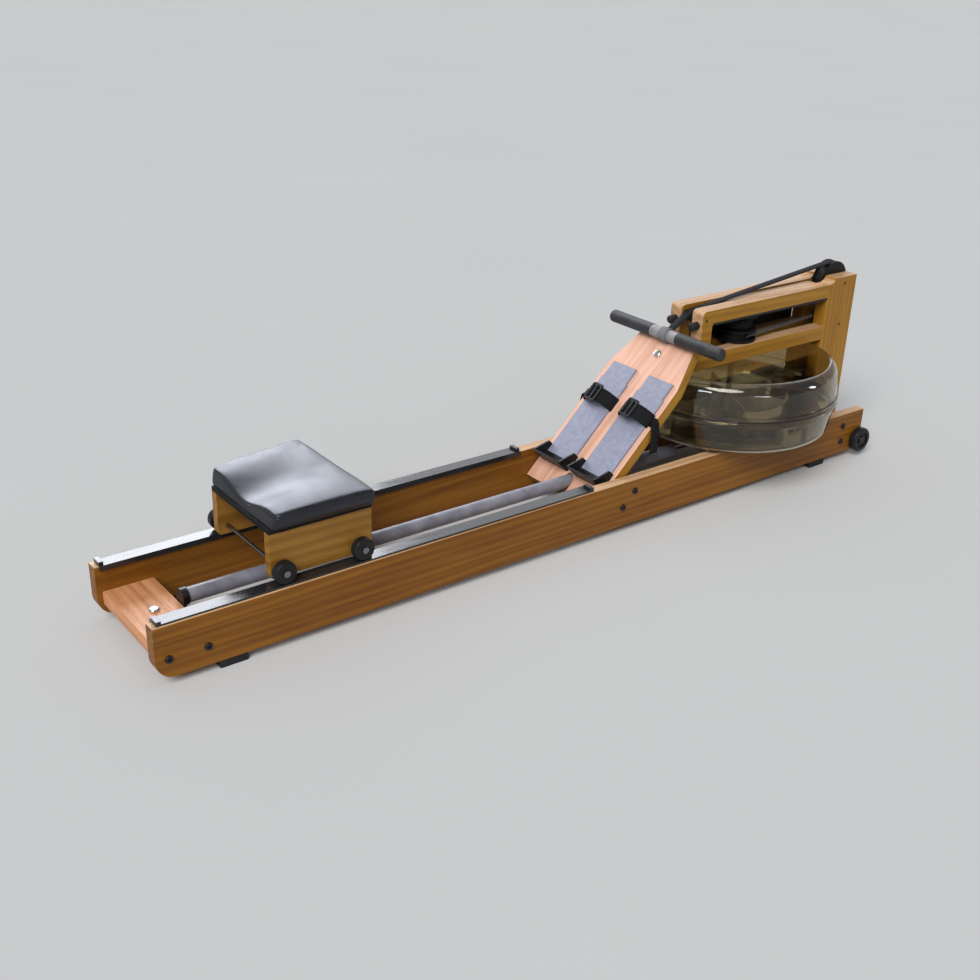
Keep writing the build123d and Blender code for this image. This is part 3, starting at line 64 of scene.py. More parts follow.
# Drive strap, its winding and its loop; all sizes are in metres, in the frame of the machine
STRAP_WIDTH = 0.024
STRAP_THICKNESS = 0.002
STRAP_ROOM = 0.0003
STRAP_TURNS = 5
STRAP_PITCH = 0.0025
WINDING_OUTER = 0.0418
ROLLER_RADIUS = 0.012
PULLEY_RADIUS = 0.048
TWIST_ROOM = 0.010
LOOP_RADIUS = 0.0166
LOOP_THICKNESS = 0.003
LOOP_WIDTH = 0.026

# Foot straps and their tails on the sloping board
SLOPE = math.radians(45)
FOOT_STRAP_WIDTH = 0.038
FOOT_STRAP_THICKNESS = 0.0025
FOOT_STRAP_RIPPLE = 0.0006
TAIL_WIDTH = 0.026
TAIL_ROOM = 0.0005
TAIL_DROP = 0.074
TAIL_BULGE = 0.0045
TAIL_WAVE = 0.0012

# Bands: weave, chamfer as a share of the thickness, and steps along each stretch
THREAD_WIDTH = 0.0016
STITCH_LENGTH = 0.0024
BAND_CHAMFER = 0.4
ROLLER_STEPS = 12
SPAN_STEPS = 20
PULLEY_STEPS = 32
TWIST_STEPS = 24
TURN_STEPS = 48
RUN_STEPS = 48
LOOP_STEPS = 48
ARCH_STEPS = 40
TAIL_FLAT_STEPS = 5
TAIL_EDGE_STEPS = 6
TAIL_HANG_STEPS = 14

# Seat pad
PAD_ROOM = 0.0004
PAD_END_ROOM = 0.001
PAD_CORNER = 0.008
PAD_DRAW_IN = 0.007
PAD_FLARE = 0.010
PAD_FOOT = 0.1335
PAD_MIDDLE = 0.1488
PAD_CROWN = 0.0425
PAD_RISE = 0.005
PAD_CHANNEL = 0.0015
PAD_CHANNEL_GAIN = 0.0180
PAD_BROW = 0.0012
PAD_END_DROP = 0.0025
PAD_TOP_INSET = 0.0105
PAD_TOP_STEP = 0.0078
PAD_SWELL = 0.007
PAD_SEAM = 0.0014

# Seat pad: shares of its half length, half width and height, holds and counts
PAD_DEEPENING = 0.45
PAD_CHANNEL_SHARE = 0.76
PAD_BROW_SHARE = 0.45
PAD_HELD_SHARE = 0.45
PAD_FULL_SHARE = 0.6
PAD_DRAWN_SHARE = 0.8
PAD_SIDE_HOLD = 0.25
PAD_CHANNEL_HOLD = 0.45
PAD_RING = 168
PAD_TOP_RINGS = 13
FILLING_FRAMES = 20
EVENING_ROUNDS = 10

# Recoil cord
CORD_DIAMETER = 0.008
CORD_TURN = 0.022
CORD_LEAD = 0.052

# Floor and camera, which was solved from the picture
FLOOR_REACH = 60
CAMERA_PLACE = Vector((-1.7517, -2.0508, 1.3362))
FOCAL_LENGTH_MM = 45.38
SENSOR_WIDTH_MM = 36
YAW = math.radians(52.026)
PITCH = math.radians(24.978)
ROLL = math.radians(1.978)


def middle(node):
    """The middle of a node's box."""
    low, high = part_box(node)
    return (Vector(low) + Vector(high)) / 2


def shares(steps):
    """Even shares from 0 to 1."""
    return [step / steps for step in range(steps + 1)]


def dimmed(colour, factor):
    """A colour times a factor."""
    return tuple(c * factor for c in colour)


class Paint:
    """A material in the making. Its methods add nodes and return the socket to go on with."""

    def __init__(self, name, **settings):
        self.material = bpy.data.materials.new(name)
        self.material.use_nodes = True
        self.tree = self.material.node_tree
        self.shader = self.tree.nodes["Principled BSDF"]
        for key, value in settings.items():
            self.put(key.replace("_", " "), value)

    def put(self, name, value):
        """Set or link one of the shader's own inputs, named in any case."""
        socket = next(s for s in self.shader.inputs if s.name.lower() == name.lower())
        self.feed(socket, value)

    def feed(self, socket, value):
        """Link a socket to the input, or set the input to a plain value."""
        if isinstance(value, bpy.types.NodeSocket):
            self.tree.links.new(value, socket)
        else:
            socket.default_value = value

    def add(self, kind, inputs=(), **settings):
        """A new node with these settings and (input, value) pairs."""
        node = self.tree.nodes.new("ShaderNode" + kind)
        for key, value in settings.items():
            setattr(node, key, value)
        for key, value in inputs:
            self.feed(node.inputs[key], value)
        return node

    def place(self):
        """Where a point lies on the object."""
        return self.add("TexCoord").outputs["Object"]

    def stretch(self, vector, factors, shift=(0, 0, 0), turn=(0, 0, 0)):
        """A vector turned, moved and then drawn out along its axes."""
        turned = self.add("Mapping", [("Vector", vector), ("Rotation", turn), ("Location", shift)]).outputs[0]
        return self.add("VectorMath", [(0, turned), (1, factors)], operation="MULTIPLY").outputs[0]

    def noise(self, vector, scale, detail=3.0, roughness=0.55):
        """Soft noise between 0 and 1."""
        pairs = [("Vector", vector), ("Scale", scale), ("Detail", detail), ("Roughness", roughness)]
        return self.add("TexNoise", pairs).outputs[0]

    def cells(self, vector, scale):
        """Distance to the nearest of scattered points."""
        return self.add("TexVoronoi", [("Vector", vector), ("Scale", scale)]).outputs["Distance"]

    def math(self, operation, a, b=0.0):
        """One step of arithmetic."""
        return self.add("Math", [(0, a), (1, b)], operation=operation).outputs[0]

    def mixed(self, *parts):
        """The sum of (value, share) pairs, each value times its share."""
        scaled = [self.math("MULTIPLY", value, share) for value, share in parts]
        total = scaled[0]
        for part in scaled[1:]:
            total = self.math("ADD", total, part)
        return total

    def spread(self, value, low, high, out_low=0.0, out_high=1.0):
        """A value taken from one range to another, held at its ends."""
        pairs = [("Value", value), ("From Min", low), ("From Max", high)]
        pairs += [("To Min", out_low), ("To Max", out_high)]
        return self.add("MapRange", pairs).outputs[0]

    def ramp(self, value, *stops):
        """A colour from (place, colour) stops."""
        node = self.add("ValToRGB", [("Fac", value)])
        elements = node.color_ramp.elements
        while len(elements) < len(stops):
            elements.new(0.5)
        for element, (position, colour) in zip(elements, stops):
            element.position = position
            element.color = (*colour, 1)
        return node.outputs[0]

    def blend(self, share, a, b):
        """Two colours mixed by a share."""
        values = [v if isinstance(v, bpy.types.NodeSocket) else (*v, 1) for v in (a, b)]
        pairs = [(0, share), (6, values[0]), (7, values[1])]
        return self.add("Mix", pairs, data_type="RGBA").outputs[2]

    def relief(self, height, distance, edge=0.0):
        """Link a bump of this depth to the shader, over edges rounded by edge."""
        pairs = [("Height", height), ("Distance", distance), ("Strength", 1.0)]
        bump = self.add("Bump", pairs)
        if edge:
            self.feed(bump.inputs["Normal"], self.add("Bevel", [("Radius", edge)], samples=4).outputs[0])
        self.put("Normal", bump.outputs[0])


def wood(name, tones, turn=(0, 0, 0), shift=(0, 0, 0), lit_face=None):
    """Oiled wood whose grain runs along X before it is turned; the last argument is a direction and the tones
    of faces turned that way, painted light on those faces.
    """
    paint = Paint(name, specular_ior_level=0.25)
    place = paint.place()
    grain = paint.stretch(place, (0.045, 1, 1), shift, turn)
    sway = paint.spread(paint.noise(grain, 7.0, 2.0), 0.2, 0.8, -0.03, 0.03)
    swayed = paint.add("VectorMath", [(0, grain), (1, sway)]).outputs[0]
    wave_inputs = [("Vector", swayed), ("Scale", 19.0), ("Distortion", 4.5), ("Detail", 2.0)]
    wave_inputs += [("Detail Scale", 0.9), ("Detail Roughness", 0.5)]
    rings = paint.add("TexWave", wave_inputs, wave_type="RINGS", rings_direction="X").outputs[1]
    broad = paint.noise(swayed, 42.0, 3.0, 0.5)
    streaks = paint.noise(swayed, 210.0, 4.0, 0.6)
    fibres = paint.noise(paint.stretch(grain, (0.7, 1, 1)), 700.0, 2.0, 0.5)
    pores = paint.spread(fibres, 0.28, 0.40, 1.0, 0.0)
    patches = paint.noise(place, 2.6, 2.0)
    tone = paint.mixed((rings, 0.13), (broad, 0.42), (streaks, 0.34), (patches, 0.25))
    tone_places = (0.38, 0.56, 0.76)
    colour, pore_tone = paint.ramp(tone, *zip(tone_places, tones)), tones[0]
    # Faces turned toward the given direction take the lit tones: painted light where the light falls.
    if lit_face:
        direction, lit_tones = lit_face
        normal = paint.add("NewGeometry").outputs["True Normal"]
        sides = [(0, normal), (1, direction)]
        light_facing = paint.add("VectorMath", sides, operation="DOT_PRODUCT").outputs["Value"]
        lit_colour, pore_tone = paint.ramp(tone, *zip(tone_places, lit_tones)), lit_tones[0]
        colour = paint.blend(paint.spread(light_facing, 0.5, 0.65), colour, lit_colour)
    pore_share = paint.math("MULTIPLY", pores, 0.4)
    paint.put("Base Color", paint.blend(pore_share, colour, dimmed(pore_tone, 0.5)))
    paint.put("Roughness", paint.spread(streaks, 0.3, 0.75, 0.38, 0.55))
    height = paint.math("SUBTRACT", paint.math("MULTIPLY", streaks, 0.5), pores)
    paint.relief(height, 0.0002, 0.0016)
    return paint.material


def moulded(name, colour, roughness=0.45, grain=900.0, depth=0.00012, gloss=0.5):
    """Moulded plastic or rubber with a fine surface and a little dust."""
    paint = Paint(name, specular_ior_level=gloss)
    place = paint.place()
    fine = paint.noise(place, grain)
    wide = paint.noise(place, 24.0)
    dusty = tuple(c * 1.25 + 0.003 for c in colour)
    paint.put("Base Color", paint.ramp(wide, (0.32, dimmed(colour, 0.75)), (0.5, colour), (0.7, dusty)))
    paint.put("Roughness", paint.spread(wide, 0.3, 0.7, roughness - 0.06, roughness + 0.08))
    paint.relief(fine, depth, 0.0008)
    return paint.material


def metal(name, colour, roughness, along=(1, 1, 1)):
    """Metal with fine marks drawn out along an axis."""
    paint = Paint(name, metallic=1.0)
    place = paint.place()
    lines = paint.noise(paint.stretch(place, along), 1500.0)
    smudge = paint.noise(place, 40.0)
    paint.put("Base Color", paint.ramp(lines, (0.3, dimmed(colour, 0.82)), (0.7, colour)))
    paint.put("Roughness", paint.spread(smudge, 0.3, 0.7, roughness - 0.05, roughness + 0.08))
    paint.relief(lines, 0.00003, 0.0006)
    return paint.material


def glossy_track():
    """Glossy black strip with lengthwise wear from the wheels."""
    paint = Paint("glossy black track", ior=1.5)
    place = paint.place()
    scratches = paint.noise(paint.stretch(place, (0.02, 1, 1)), 1300.0)
    worn = paint.noise(paint.stretch(place, (0.15, 1, 1)), 90.0)
    paint.put("Base Color", paint.ramp(scratches, (0.35, (0.008, 0.008, 0.009)), (0.75, (0.03, 0.03, 0.033))))
    paint.put("Roughness", paint.spread(worn, 0.35, 0.7, 0.10, 0.24))
    paint.relief(scratches, 0.00002, 0.0008)
    return paint.material


def clear(name, tint, ior, roughness, ripple, scale):
    """Clear plastic or water with a slight tint and an uneven surface."""
    paint = Paint(name, ior=ior, transmission_weight=1.0)
    place = paint.place()
    flow = paint.noise(paint.stretch(place, (1, 1, 2.5)), scale, 2.0)
    marks = paint.noise(place, 210.0)
    paint.put("Base Color", paint.ramp(flow, (0.3, dimmed(tint, 0.9)), (0.7, tint)))
    paint.put("Roughness", paint.spread(marks, 0.4, 0.75, roughness, roughness + 0.05))
    paint.relief(flow, ripple)
    return paint.material


def webbing(name, low, high):
    """Woven band; u runs along it and v across, both in metres."""
    paint = Paint(name, specular_ior_level=0.1)
    uv = paint.add("SeparateXYZ", [(0, paint.add("UVMap", uv_map="band").outputs[0])]).outputs
    across = paint.math("DIVIDE", uv[1], THREAD_WIDTH)
    offset = paint.math("MULTIPLY", paint.math("FLOOR", across), 0.5)
    along = paint.math("ADD", paint.math("DIVIDE", uv[0], STITCH_LENGTH), offset)
    crown = paint.math("ABSOLUTE", paint.math("SINE", paint.math("MULTIPLY", along, math.pi)))
    thread = paint.math("ABSOLUTE", paint.math("SINE", paint.math("MULTIPLY", across, math.pi)))
    weave = paint.math("MULTIPLY", crown, thread)
    fuzz = paint.noise(paint.place(), 1400.0)
    level = paint.mixed((weave, 0.7), (fuzz, 0.3))
    paint.put("Base Color", paint.ramp(level, (0.15, low), (0.8, high)))
    paint.put("Roughness", paint.spread(fuzz, 0.3, 0.7, 0.62, 0.82))
    paint.relief(level, 0.0005)
    return paint.material


def braided():
    """Braided cord."""
    paint = Paint("braided cord", sheen_weight=0.2)
    place = paint.place()
    wave_inputs = [("Vector", place), ("Scale", 95.0), ("Distortion", 1.5)]
    strands = paint.add("TexWave", wave_inputs, bands_direction="DIAGONAL").outputs[1]
    fuzz = paint.noise(place, 1200.0)
    level = paint.mixed((strands, 0.6), (fuzz, 0.4))
    paint.put("Base Color", paint.ramp(level, (0.2, (0.01, 0.01, 0.012)), (0.8, (0.07, 0.07, 0.075))))
    paint.put("Roughness", paint.spread(fuzz, 0.3, 0.7, 0.6, 0.8))
    paint.relief(level, 0.0004)
    return paint.material


def vinyl():
    """Soft black vinyl with a pebbled grain; the bluish tint of its sheen is painted light, the colour of a
    cool light put into its reflections.
    """
    paint = Paint("seat vinyl", specular_ior_level=0.58, specular_tint=(0.79, 0.83, 1.0, 1))
    place = paint.place()
    pebbles = paint.spread(paint.cells(place, 620.0), 0.05, 0.55, 1.0, 0.0)
    fine = paint.noise(place, 1500.0, 2.0)
    wide = paint.noise(place, 17.0)
    paint.put("Base Color", paint.ramp(wide, (0.3, (0.005, 0.005, 0.006)), (0.7, (0.010, 0.010, 0.012))))
    paint.put("Roughness", paint.spread(wide, 0.3, 0.7, 0.34, 0.44))
    paint.relief(paint.mixed((pebbles, 0.75), (fine, 0.25)), 0.00022)
    return paint.material


def plate():
    """Blue-grey plate with a mottled, finely rough tread."""
    paint = Paint("blue-grey foot plate", ior=1.5)
    place = paint.place()
    mottle = paint.noise(place, 70.0, 4.0, 0.65)
    speck = paint.noise(place, 700.0, 2.0)
    tone = paint.mixed((mottle, 0.7), (speck, 0.3))
    paint.put("Base Color", paint.ramp(tone, (0.3, (0.175, 0.188, 0.26)), (0.7, (0.275, 0.292, 0.39))))
    paint.put("Roughness", paint.spread(speck, 0.3, 0.7, 0.42, 0.6))
    paint.relief(tone, 0.0003, 0.0008)
    return paint.material


def floor_paint():
    """Pale, matt floor."""
    paint = Paint("floor", roughness=0.95)
    tone = paint.noise(paint.place(), 0.8, 2.0)
    paint.put("Base Color", paint.ramp(tone, (0.3, (0.605, 0.624, 0.640)), (0.7, (0.620, 0.640, 0.656))))
    return paint.material


def coat(node, material):
    """Give a node this one material."""
    nodes[node].data.materials.clear()
    nodes[node].data.materials.append(material)


def timber(node, tones, shift, turn=(0, 0, 0), lit_face=None):
    """Coat a node with wood; shift gives it its own stretch of the grain."""
    coat(node, wood(f"wood {node}", tones, turn, shift, lit_face))


# Tones of wood from dark to light, lit tones painted onto faces turned toward the light, and ways the grain
# runs
golden = ((0.130, 0.042, 0.003), (0.200, 0.074, 0.005), (0.280, 0.114, 0.010))
# A lighter copy of golden for arms, posts, deck and footboard: painted light on pieces that catch more light
lit_golden = ((0.240, 0.108, 0.009), (0.335, 0.161, 0.015), (0.425, 0.217, 0.026))
tawny = ((0.180, 0.080, 0.011), (0.265, 0.126, 0.020), (0.350, 0.178, 0.035))
# Peach for the rear spacer stands in for the light on its top face: painted light
lit_peach = ((0.37, 0.150, 0.062), (0.54, 0.245, 0.110), (0.65, 0.330, 0.170))
# Lit tones, painted light: rosy for the footboard's face, pale for tops and the upper and rear faces of the
# arms
lit_rosy = ((0.50, 0.255, 0.165), (0.66, 0.380, 0.275), (0.76, 0.480, 0.370))
lit_pale = ((0.36, 0.205, 0.095), (0.49, 0.300, 0.160), (0.62, 0.410, 0.240))
reddish = ((0.13, 0.047, 0.012), (0.24, 0.098, 0.026), (0.35, 0.160, 0.048))
board_face = (-math.sin(SLOPE), 0, math.cos(SLOPE))
# Which faces take the lit tones, painted light: tops; the upper and rear faces of the arms; the footboard's
# face
lit_tops = ((0, 0, 1), lit_pale)
lit_upper_rear_faces = (board_face, lit_pale)
lit_footboard_faces = (board_face, lit_rosy)
upright = (0, math.radians(90), 0)
crosswise = (0, 0, math.radians(90))
uphill = (0, SLOPE, 0)

# Wooden pieces, with painted light on the faces that take lit tones
for number, node in enumerate(("rail_left", "rail_right")):
    timber(node, golden, (number * 0.7, 0.11, 0.09 - 0.31 * number), lit_face=lit_tops)
for number, node in enumerate(("top_arm_left", "top_arm_right", "lower_arm_left", "lower_arm_right")):
    timber(node, lit_golden, (2.1 + number, 0.23 * number, 0.41), lit_face=lit_upper_rear_faces)
for number, node in enumerate(("seat_cheek_left", "seat_cheek_right")):
    timber(node, tawny, (5.2 + number, 0.27, 0.16 * number))
for number, node in enumerate(("post_left", "post_right")):
    timber(node, lit_golden, (0.9 + number, 0.17, 0.3), upright, lit_tops)
for number, node in enumerate(("front_spacer", "mid_spacer", "seat_brace")):
    timber(node, reddish, (0.5 * number, 0.2, 0.13), crosswise)
timber("head_block", reddish, (1.7, 0.3, 0.2))
timber("top_deck", lit_golden, (4.1, 0.33, 0.12), lit_face=lit_tops)
timber("rear_spacer", lit_peach, (1.3, 0.42, 0.37), crosswise)
timber("footboard", lit_golden, (0.2, 0.19, 0.61), uphill, lit_footboard_faces)

# Other materials
track_material = glossy_track()
black_plastic = moulded("black plastic", (0.009, 0.009, 0.010), 0.42, gloss=0.2)
base_black = moulded("seat base black", (0.006, 0.006, 0.007), 0.72, gloss=0.2)
grip_rubber = moulded("grip rubber", (0.028, 0.028, 0.031), 0.46, 700.0, 0.0003, 0.32)
wheel_plastic = moulded("wheel black", (0.010, 0.010, 0.011), 0.36, gloss=0.2)
rubber = moulded("rubber", (0.018, 0.018, 0.020), 0.70, 500.0, 0.0003, 0.25)
sleeve_grey = moulded("handle sleeve grey", (0.235, 0.24, 0.25), 0.40)
tube_grey = moulded("tube grey", (0.20, 0.205, 0.25), 0.42, 600.0)
paddle_plastic = moulded("paddle plastic", (0.30, 0.29, 0.25), 0.5)
seal_black = moulded("seal black", (0.03, 0.03, 0.03), 0.55)
brushed = metal("brushed steel", (0.62, 0.62, 0.64), 0.30, (0.05, 1, 1))
turned = metal("turned steel", (0.24, 0.235, 0.25), 0.30, (1, 0.05, 1))
chrome = metal("polished steel", (0.84, 0.84, 0.86), 0.12)
black_steel = metal("black steel", (0.05, 0.05, 0.055), 0.42)
tank_clear = clear("smoky tank", (0.61, 0.56, 0.43), 1.49, 0.02, 0.0006, 7.0)
water_clear = clear("water", (0.80, 0.76, 0.61), 1.33, 0.0, 0.0008, 9.0)
plate_grey = plate()
band_material = webbing("black webbing", (0.005, 0.005, 0.006), (0.021, 0.021, 0.024))
loop_material = webbing("grey webbing", (0.11, 0.11, 0.115), (0.27, 0.27, 0.28))
cord_material = braided()
pad_material = vinyl()

looks = {
    track_material: "track_left track_right",
    black_plastic: "strap_drum top_pulley guide_roller recoil_pulley_upper recoil_pulley_lower heel_cup_left "
    "heel_cup_right strap_buckles",
    base_black: "seat_base",
    grip_rubber: "handle_grips",
    wheel_plastic: "seat_wheel_front_left seat_wheel_front_right seat_wheel_rear_left seat_wheel_rear_right "
    "transport_wheel_left transport_wheel_right",
    rubber: "rubber_feet handle_rests",
    sleeve_grey: "handle_bar",
    tube_grey: "recoil_tube",
    paddle_plastic: "paddle",
    seal_black: "tank_seal",
    brushed: "shaft_bearings",
    turned: "seat_axles",
    chrome: "dome_screws",
    # Black steel for bolts, bracket and axles; on the bridge plate the black also stands in for the shade in
    # the window between the arms, painted shade
    black_steel: "rail_bolts wheel_bolts tube_bracket pulley_axles bridge_plate",
    tank_clear: "tank_lower tank_upper",
    water_clear: "water",
    plate_grey: "foot_plates",
    band_material: "foot_strap_left foot_strap_right drive_strap strap_run strap_loop",
    cord_material: "recoil_cord",
    pad_material: "seat_pad",
}
for material, names in looks.items():
    for node in names.split():
        coat(node, material)


def put_mesh(name, points, faces, material, smooth=True):
    """A new mesh object in the frame of the machine."""
    mesh = bpy.data.meshes.new(name)
    mesh.from_pydata([tuple(p) for p in points], [], faces)
    mesh.materials.append(material)
    if smooth:
        mesh.shade_smooth()
    thing = bpy.data.objects.new(name, mesh)
    scene.collection.objects.link(thing)
    return thing


def ribbon(name, stations, width, thickness, material, closed=False):
    """A flat band and its length, through stations of (middle, direction across, direction of its face)."""
    half, rim, chamfer = width / 2, thickness / 2, thickness * BAND_CHAMFER
    flat, bevel = half - chamfer, rim - chamfer
    section = [(-flat, rim), (0, rim), (flat, rim), (half, bevel), (half, -bevel)]
    section += [(flat, -rim), (0, -rim), (-flat, -rim), (-half, -bevel), (-half, bevel)]
    count, rings = len(section), len(stations)
    points, run = [], [0.0]
    for number, (place, across, face) in enumerate(stations):
        points += [place + across * a + face * f for a, f in section]
        if number:
            run.append(run[-1] + (place - stations[number - 1][0]).length)
    faces = []
    for ring in range(rings if closed else rings - 1):
        for k in range(count):
            a, b = ring * count + k, ring * count + (k + 1) % count
            shift = ((ring + 1) % rings - ring) * count
            faces.append((a, a + shift, b + shift, b))
    if not closed:
        faces.append(tuple(range(count)))
        faces.append(tuple(range((rings - 1) * count, rings * count))[::-1])
    band = put_mesh(name, points, faces, material)
    mesh = band.data
    layer = mesh.uv_layers.new(name="band")
    for loop in mesh.loops:
        ring, k = divmod(loop.vertex_index, count)
        layer.data[loop.index].uv = (run[ring], section[k][0])
    work = bmesh.new()
    work.from_mesh(mesh)
    bmesh.ops.recalc_face_normals(work, faces=work.faces)
    work.to_mesh(mesh)
    work.free()
    return band, run[-1]


def heading(points, number):
    """The direction of travel at one of the points."""
    ahead, behind = points[min(number + 1, len(points) - 1)], points[max(number - 1, 0)]
    return (ahead - behind).normalized()


def edge_on(points, across):
    """Stations through points of one plane, with the band's width square to it."""
    return [(point, across, heading(points, number).cross(across)) for number, point in enumerate(points)]


def around(centre, radius, angle):
    """The point round a centre in the upright plane along the machine."""
    return Vector((centre.x + radius * math.cos(angle), 0, centre.z + radius * math.sin(angle)))


def wrap(centre, radius, start, turn, steps):
    """Points of a turn round a centre, from a starting angle."""
    return [around(centre, radius, start + share * turn) for share in shares(steps)]


ACROSS = Vector((0, 1, 0))
UPHILL = Vector((math.cos(SLOPE), 0, math.sin(SLOPE)))
OUTWARD = Vector(board_face)

# Where the drive strap leaves the roller on both sides, and where it meets the top pulley
roller, pulley, drum, bar = (middle(n) for n in ("guide_roller", "top_pulley", "strap_drum", "handle_bar"))
roller_line = ROLLER_RADIUS + STRAP_ROOM + STRAP_THICKNESS / 2
pulley_line = PULLEY_RADIUS + STRAP_ROOM + STRAP_THICKNESS / 2
between = pulley - roller
lean = math.atan2(between.z, between.x)
top_normal = lean + math.acos((roller_line - pulley_line) / math.hypot(between.x, between.z))
to_bar = bar - roller
run_lean = math.acos(roller_line / math.hypot(to_bar.x, to_bar.z))
run_normal = math.atan2(to_bar.z, to_bar.x) + math.tau - run_lean
roller_turn, pulley_turn = top_normal - run_normal, -math.pi / 2 - top_normal

# Where its quarter twist starts behind the post and ends on the drum
post_rear_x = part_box("lower_arm_left")[1][0]
twist_start = Vector((post_rear_x - TWIST_ROOM, 0, pulley.z - pulley_line))
winding_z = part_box("drive_strap")[0][2] + STRAP_WIDTH / 2
winding_centre = Vector((drum.x, 0, winding_z))
meet = math.asin(WINDING_OUTER / (twist_start.x - drum.x))
radial = Vector((math.sin(meet), math.cos(meet), 0))
sideways = Vector((math.cos(meet), -math.sin(meet), 0))
twist_end = winding_centre + radial * WINDING_OUTER

# Drive strap: round the roller, over the top pulley, through the twist and on to the drum
flat_points = wrap(roller, roller_line, run_normal, roller_turn, ROLLER_STEPS)
wrap_points = wrap(pulley, pulley_line, top_normal, pulley_turn, PULLEY_STEPS)
flat_points += [flat_points[-1].lerp(wrap_points[0], share) for share in shares(SPAN_STEPS)[1:-1]]
flat_points += wrap_points + [twist_start]
strap_stations = edge_on(flat_points, ACROSS)
for share in shares(TWIST_STEPS)[1:]:
    turned_by = share * math.pi / 2
    across = radial * math.cos(turned_by) - Vector((0, 0, math.sin(turned_by)))
    strap_stations.append((twist_start.lerp(twist_end, share), across, (-sideways).cross(across)))
for turn in range(STRAP_TURNS):
    for share in shares(TURN_STEPS)[1:]:
        angle = share * math.tau
        inset, centre = (STRAP_PITCH / 2, STRAP_PITCH / 2) if share <= 0.5 else (STRAP_PITCH, 0)
        radius = WINDING_OUTER - turn * STRAP_PITCH - inset
        place = winding_centre + radial * (centre + radius * math.cos(angle))
        place -= sideways * radius * math.sin(angle)
        inward = -(radial * math.cos(angle) - sideways * math.sin(angle))
        strap_stations.append((place, Vector((0, 0, -1)), inward))
drive_band, drive_length = ribbon("drive_band", strap_stations, STRAP_WIDTH, STRAP_THICKNESS, band_material)
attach(drive_band, "frame")
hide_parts("drive_strap")

# Free run of the strap from the roller to the handle
run_start = around(roller, roller_line, run_normal)
run_line = bar - run_start
run_end = bar - run_line.normalized() * (LOOP_RADIUS + LOOP_THICKNESS / 4)
run_stations = edge_on([run_start.lerp(run_end, share) for share in shares(RUN_STEPS)], ACROSS)
run_band, run_length = ribbon("run_band", run_stations, STRAP_WIDTH, STRAP_THICKNESS, band_material)
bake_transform(run_band)
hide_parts("strap_run")

# Loop of the strap round the handle
loop_stations = []
for share in shares(LOOP_STEPS)[:-1]:
    angle = share * math.tau
    outward = Vector((math.cos(angle), 0, math.sin(angle)))
    loop_stations.append((bar + outward * LOOP_RADIUS, ACROSS, outward))
loop_band, _ = ribbon("loop_band", loop_stations, LOOP_WIDTH, LOOP_THICKNESS, loop_material, closed=True)
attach(loop_band, "handle")
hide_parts("strap_loop")


def foot_arch(base, half_span, rise):
    """Points of a foot strap's arch over its plate, with a slight ripple."""
    radius = (half_span**2 + rise**2) / (2 * rise)
    sweep = math.asin(half_span / radius)
    points = []
    for share in shares(ARCH_STEPS):
        angle = sweep * (2 * share - 1)
        ripple = FOOT_STRAP_RIPPLE * math.sin(9 * angle) * math.cos(angle * 1.3)
        out = rise - radius + (radius + ripple) * math.cos(angle)
        points.append(base + ACROSS * radius * math.sin(angle) + OUTWARD * out)
    return points


def strap_tail(base, half_span, sign, board_edge):
    """Stations of a tail that lies flat to the edge of the board, turns over it and hangs down."""
    lift = FOOT_STRAP_THICKNESS / 2 + TAIL_ROOM
    start_y = abs(base.y) + half_span + 2 * lift
    corner = base + ACROSS * (sign * board_edge - base.y)
    points, twists = [], []
    for share in shares(TAIL_FLAT_STEPS)[:-1]:
        y = start_y + share * (board_edge - start_y)
        points.append(base + ACROSS * (sign * y - base.y) + OUTWARD * lift)
        twists.append(0.0)
    for share in shares(TAIL_EDGE_STEPS):
        swing = share * math.pi / 2
        points.append(corner + (ACROSS * sign * math.sin(swing) + OUTWARD * math.cos(swing)) * lift)
        twists.append(0.5 * share)
    for share in shares(TAIL_HANG_STEPS)[1:]:
        away = TAIL_BULGE * math.sin(share * math.pi * 0.75) + TAIL_WAVE * math.sin(share * 7)
        drop = Vector((0, sign * away, -TAIL_DROP * share))
        points.append(corner + ACROSS * sign * lift + drop)
        twists.append(min(1.0, 0.5 + share))
    stations = []
    for number, (point, twist) in enumerate(zip(points, twists)):
        onward = heading(points, number)
        across = UPHILL.slerp(Vector((1, 0, 0)), twist)
        across = (across - onward * across.dot(onward)).normalized()
        stations.append((point, across, onward.cross(across)))
    return stations


# Foot straps over the plates, and their tails over the edges of the board
board_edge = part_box("footboard")[1][1]
for side, sign in (("left", 1), ("right", -1)):
    low, high = (Vector(c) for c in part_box(f"foot_strap_{side}"))
    half_span = (high.y - low.y) / 2 - FOOT_STRAP_THICKNESS / 2
    full_rise = (high.z - low.z) / math.cos(SLOPE) - FOOT_STRAP_WIDTH
    base = (low + high) / 2 - OUTWARD * full_rise / 2
    stations = edge_on(foot_arch(base, half_span, full_rise - FOOT_STRAP_THICKNESS / 2), UPHILL)
    foot_strap = (FOOT_STRAP_WIDTH, FOOT_STRAP_THICKNESS, band_material)
    band, length = ribbon(f"foot_band_{side}", stations, *foot_strap)
    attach(band, "frame")
    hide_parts(f"foot_strap_{side}")

    stations = strap_tail(base, half_span, sign, board_edge)
    band, length = ribbon(f"tail_band_{side}", stations, TAIL_WIDTH, FOOT_STRAP_THICKNESS, band_material)
    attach(band, "frame")

# Seat pad: two lobes on a flared slab, filled out by a short cloth simulation
pad_low, pad_high = (Vector(c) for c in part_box("seat_pad"))
pad_centre = (pad_low + pad_high) / 2
pad_base = Vector((pad_centre.x, pad_centre.y, pad_low.z + PAD_ROOM))
pad_reach = (pad_high.x - pad_low.x) / 2 - PAD_END_ROOM


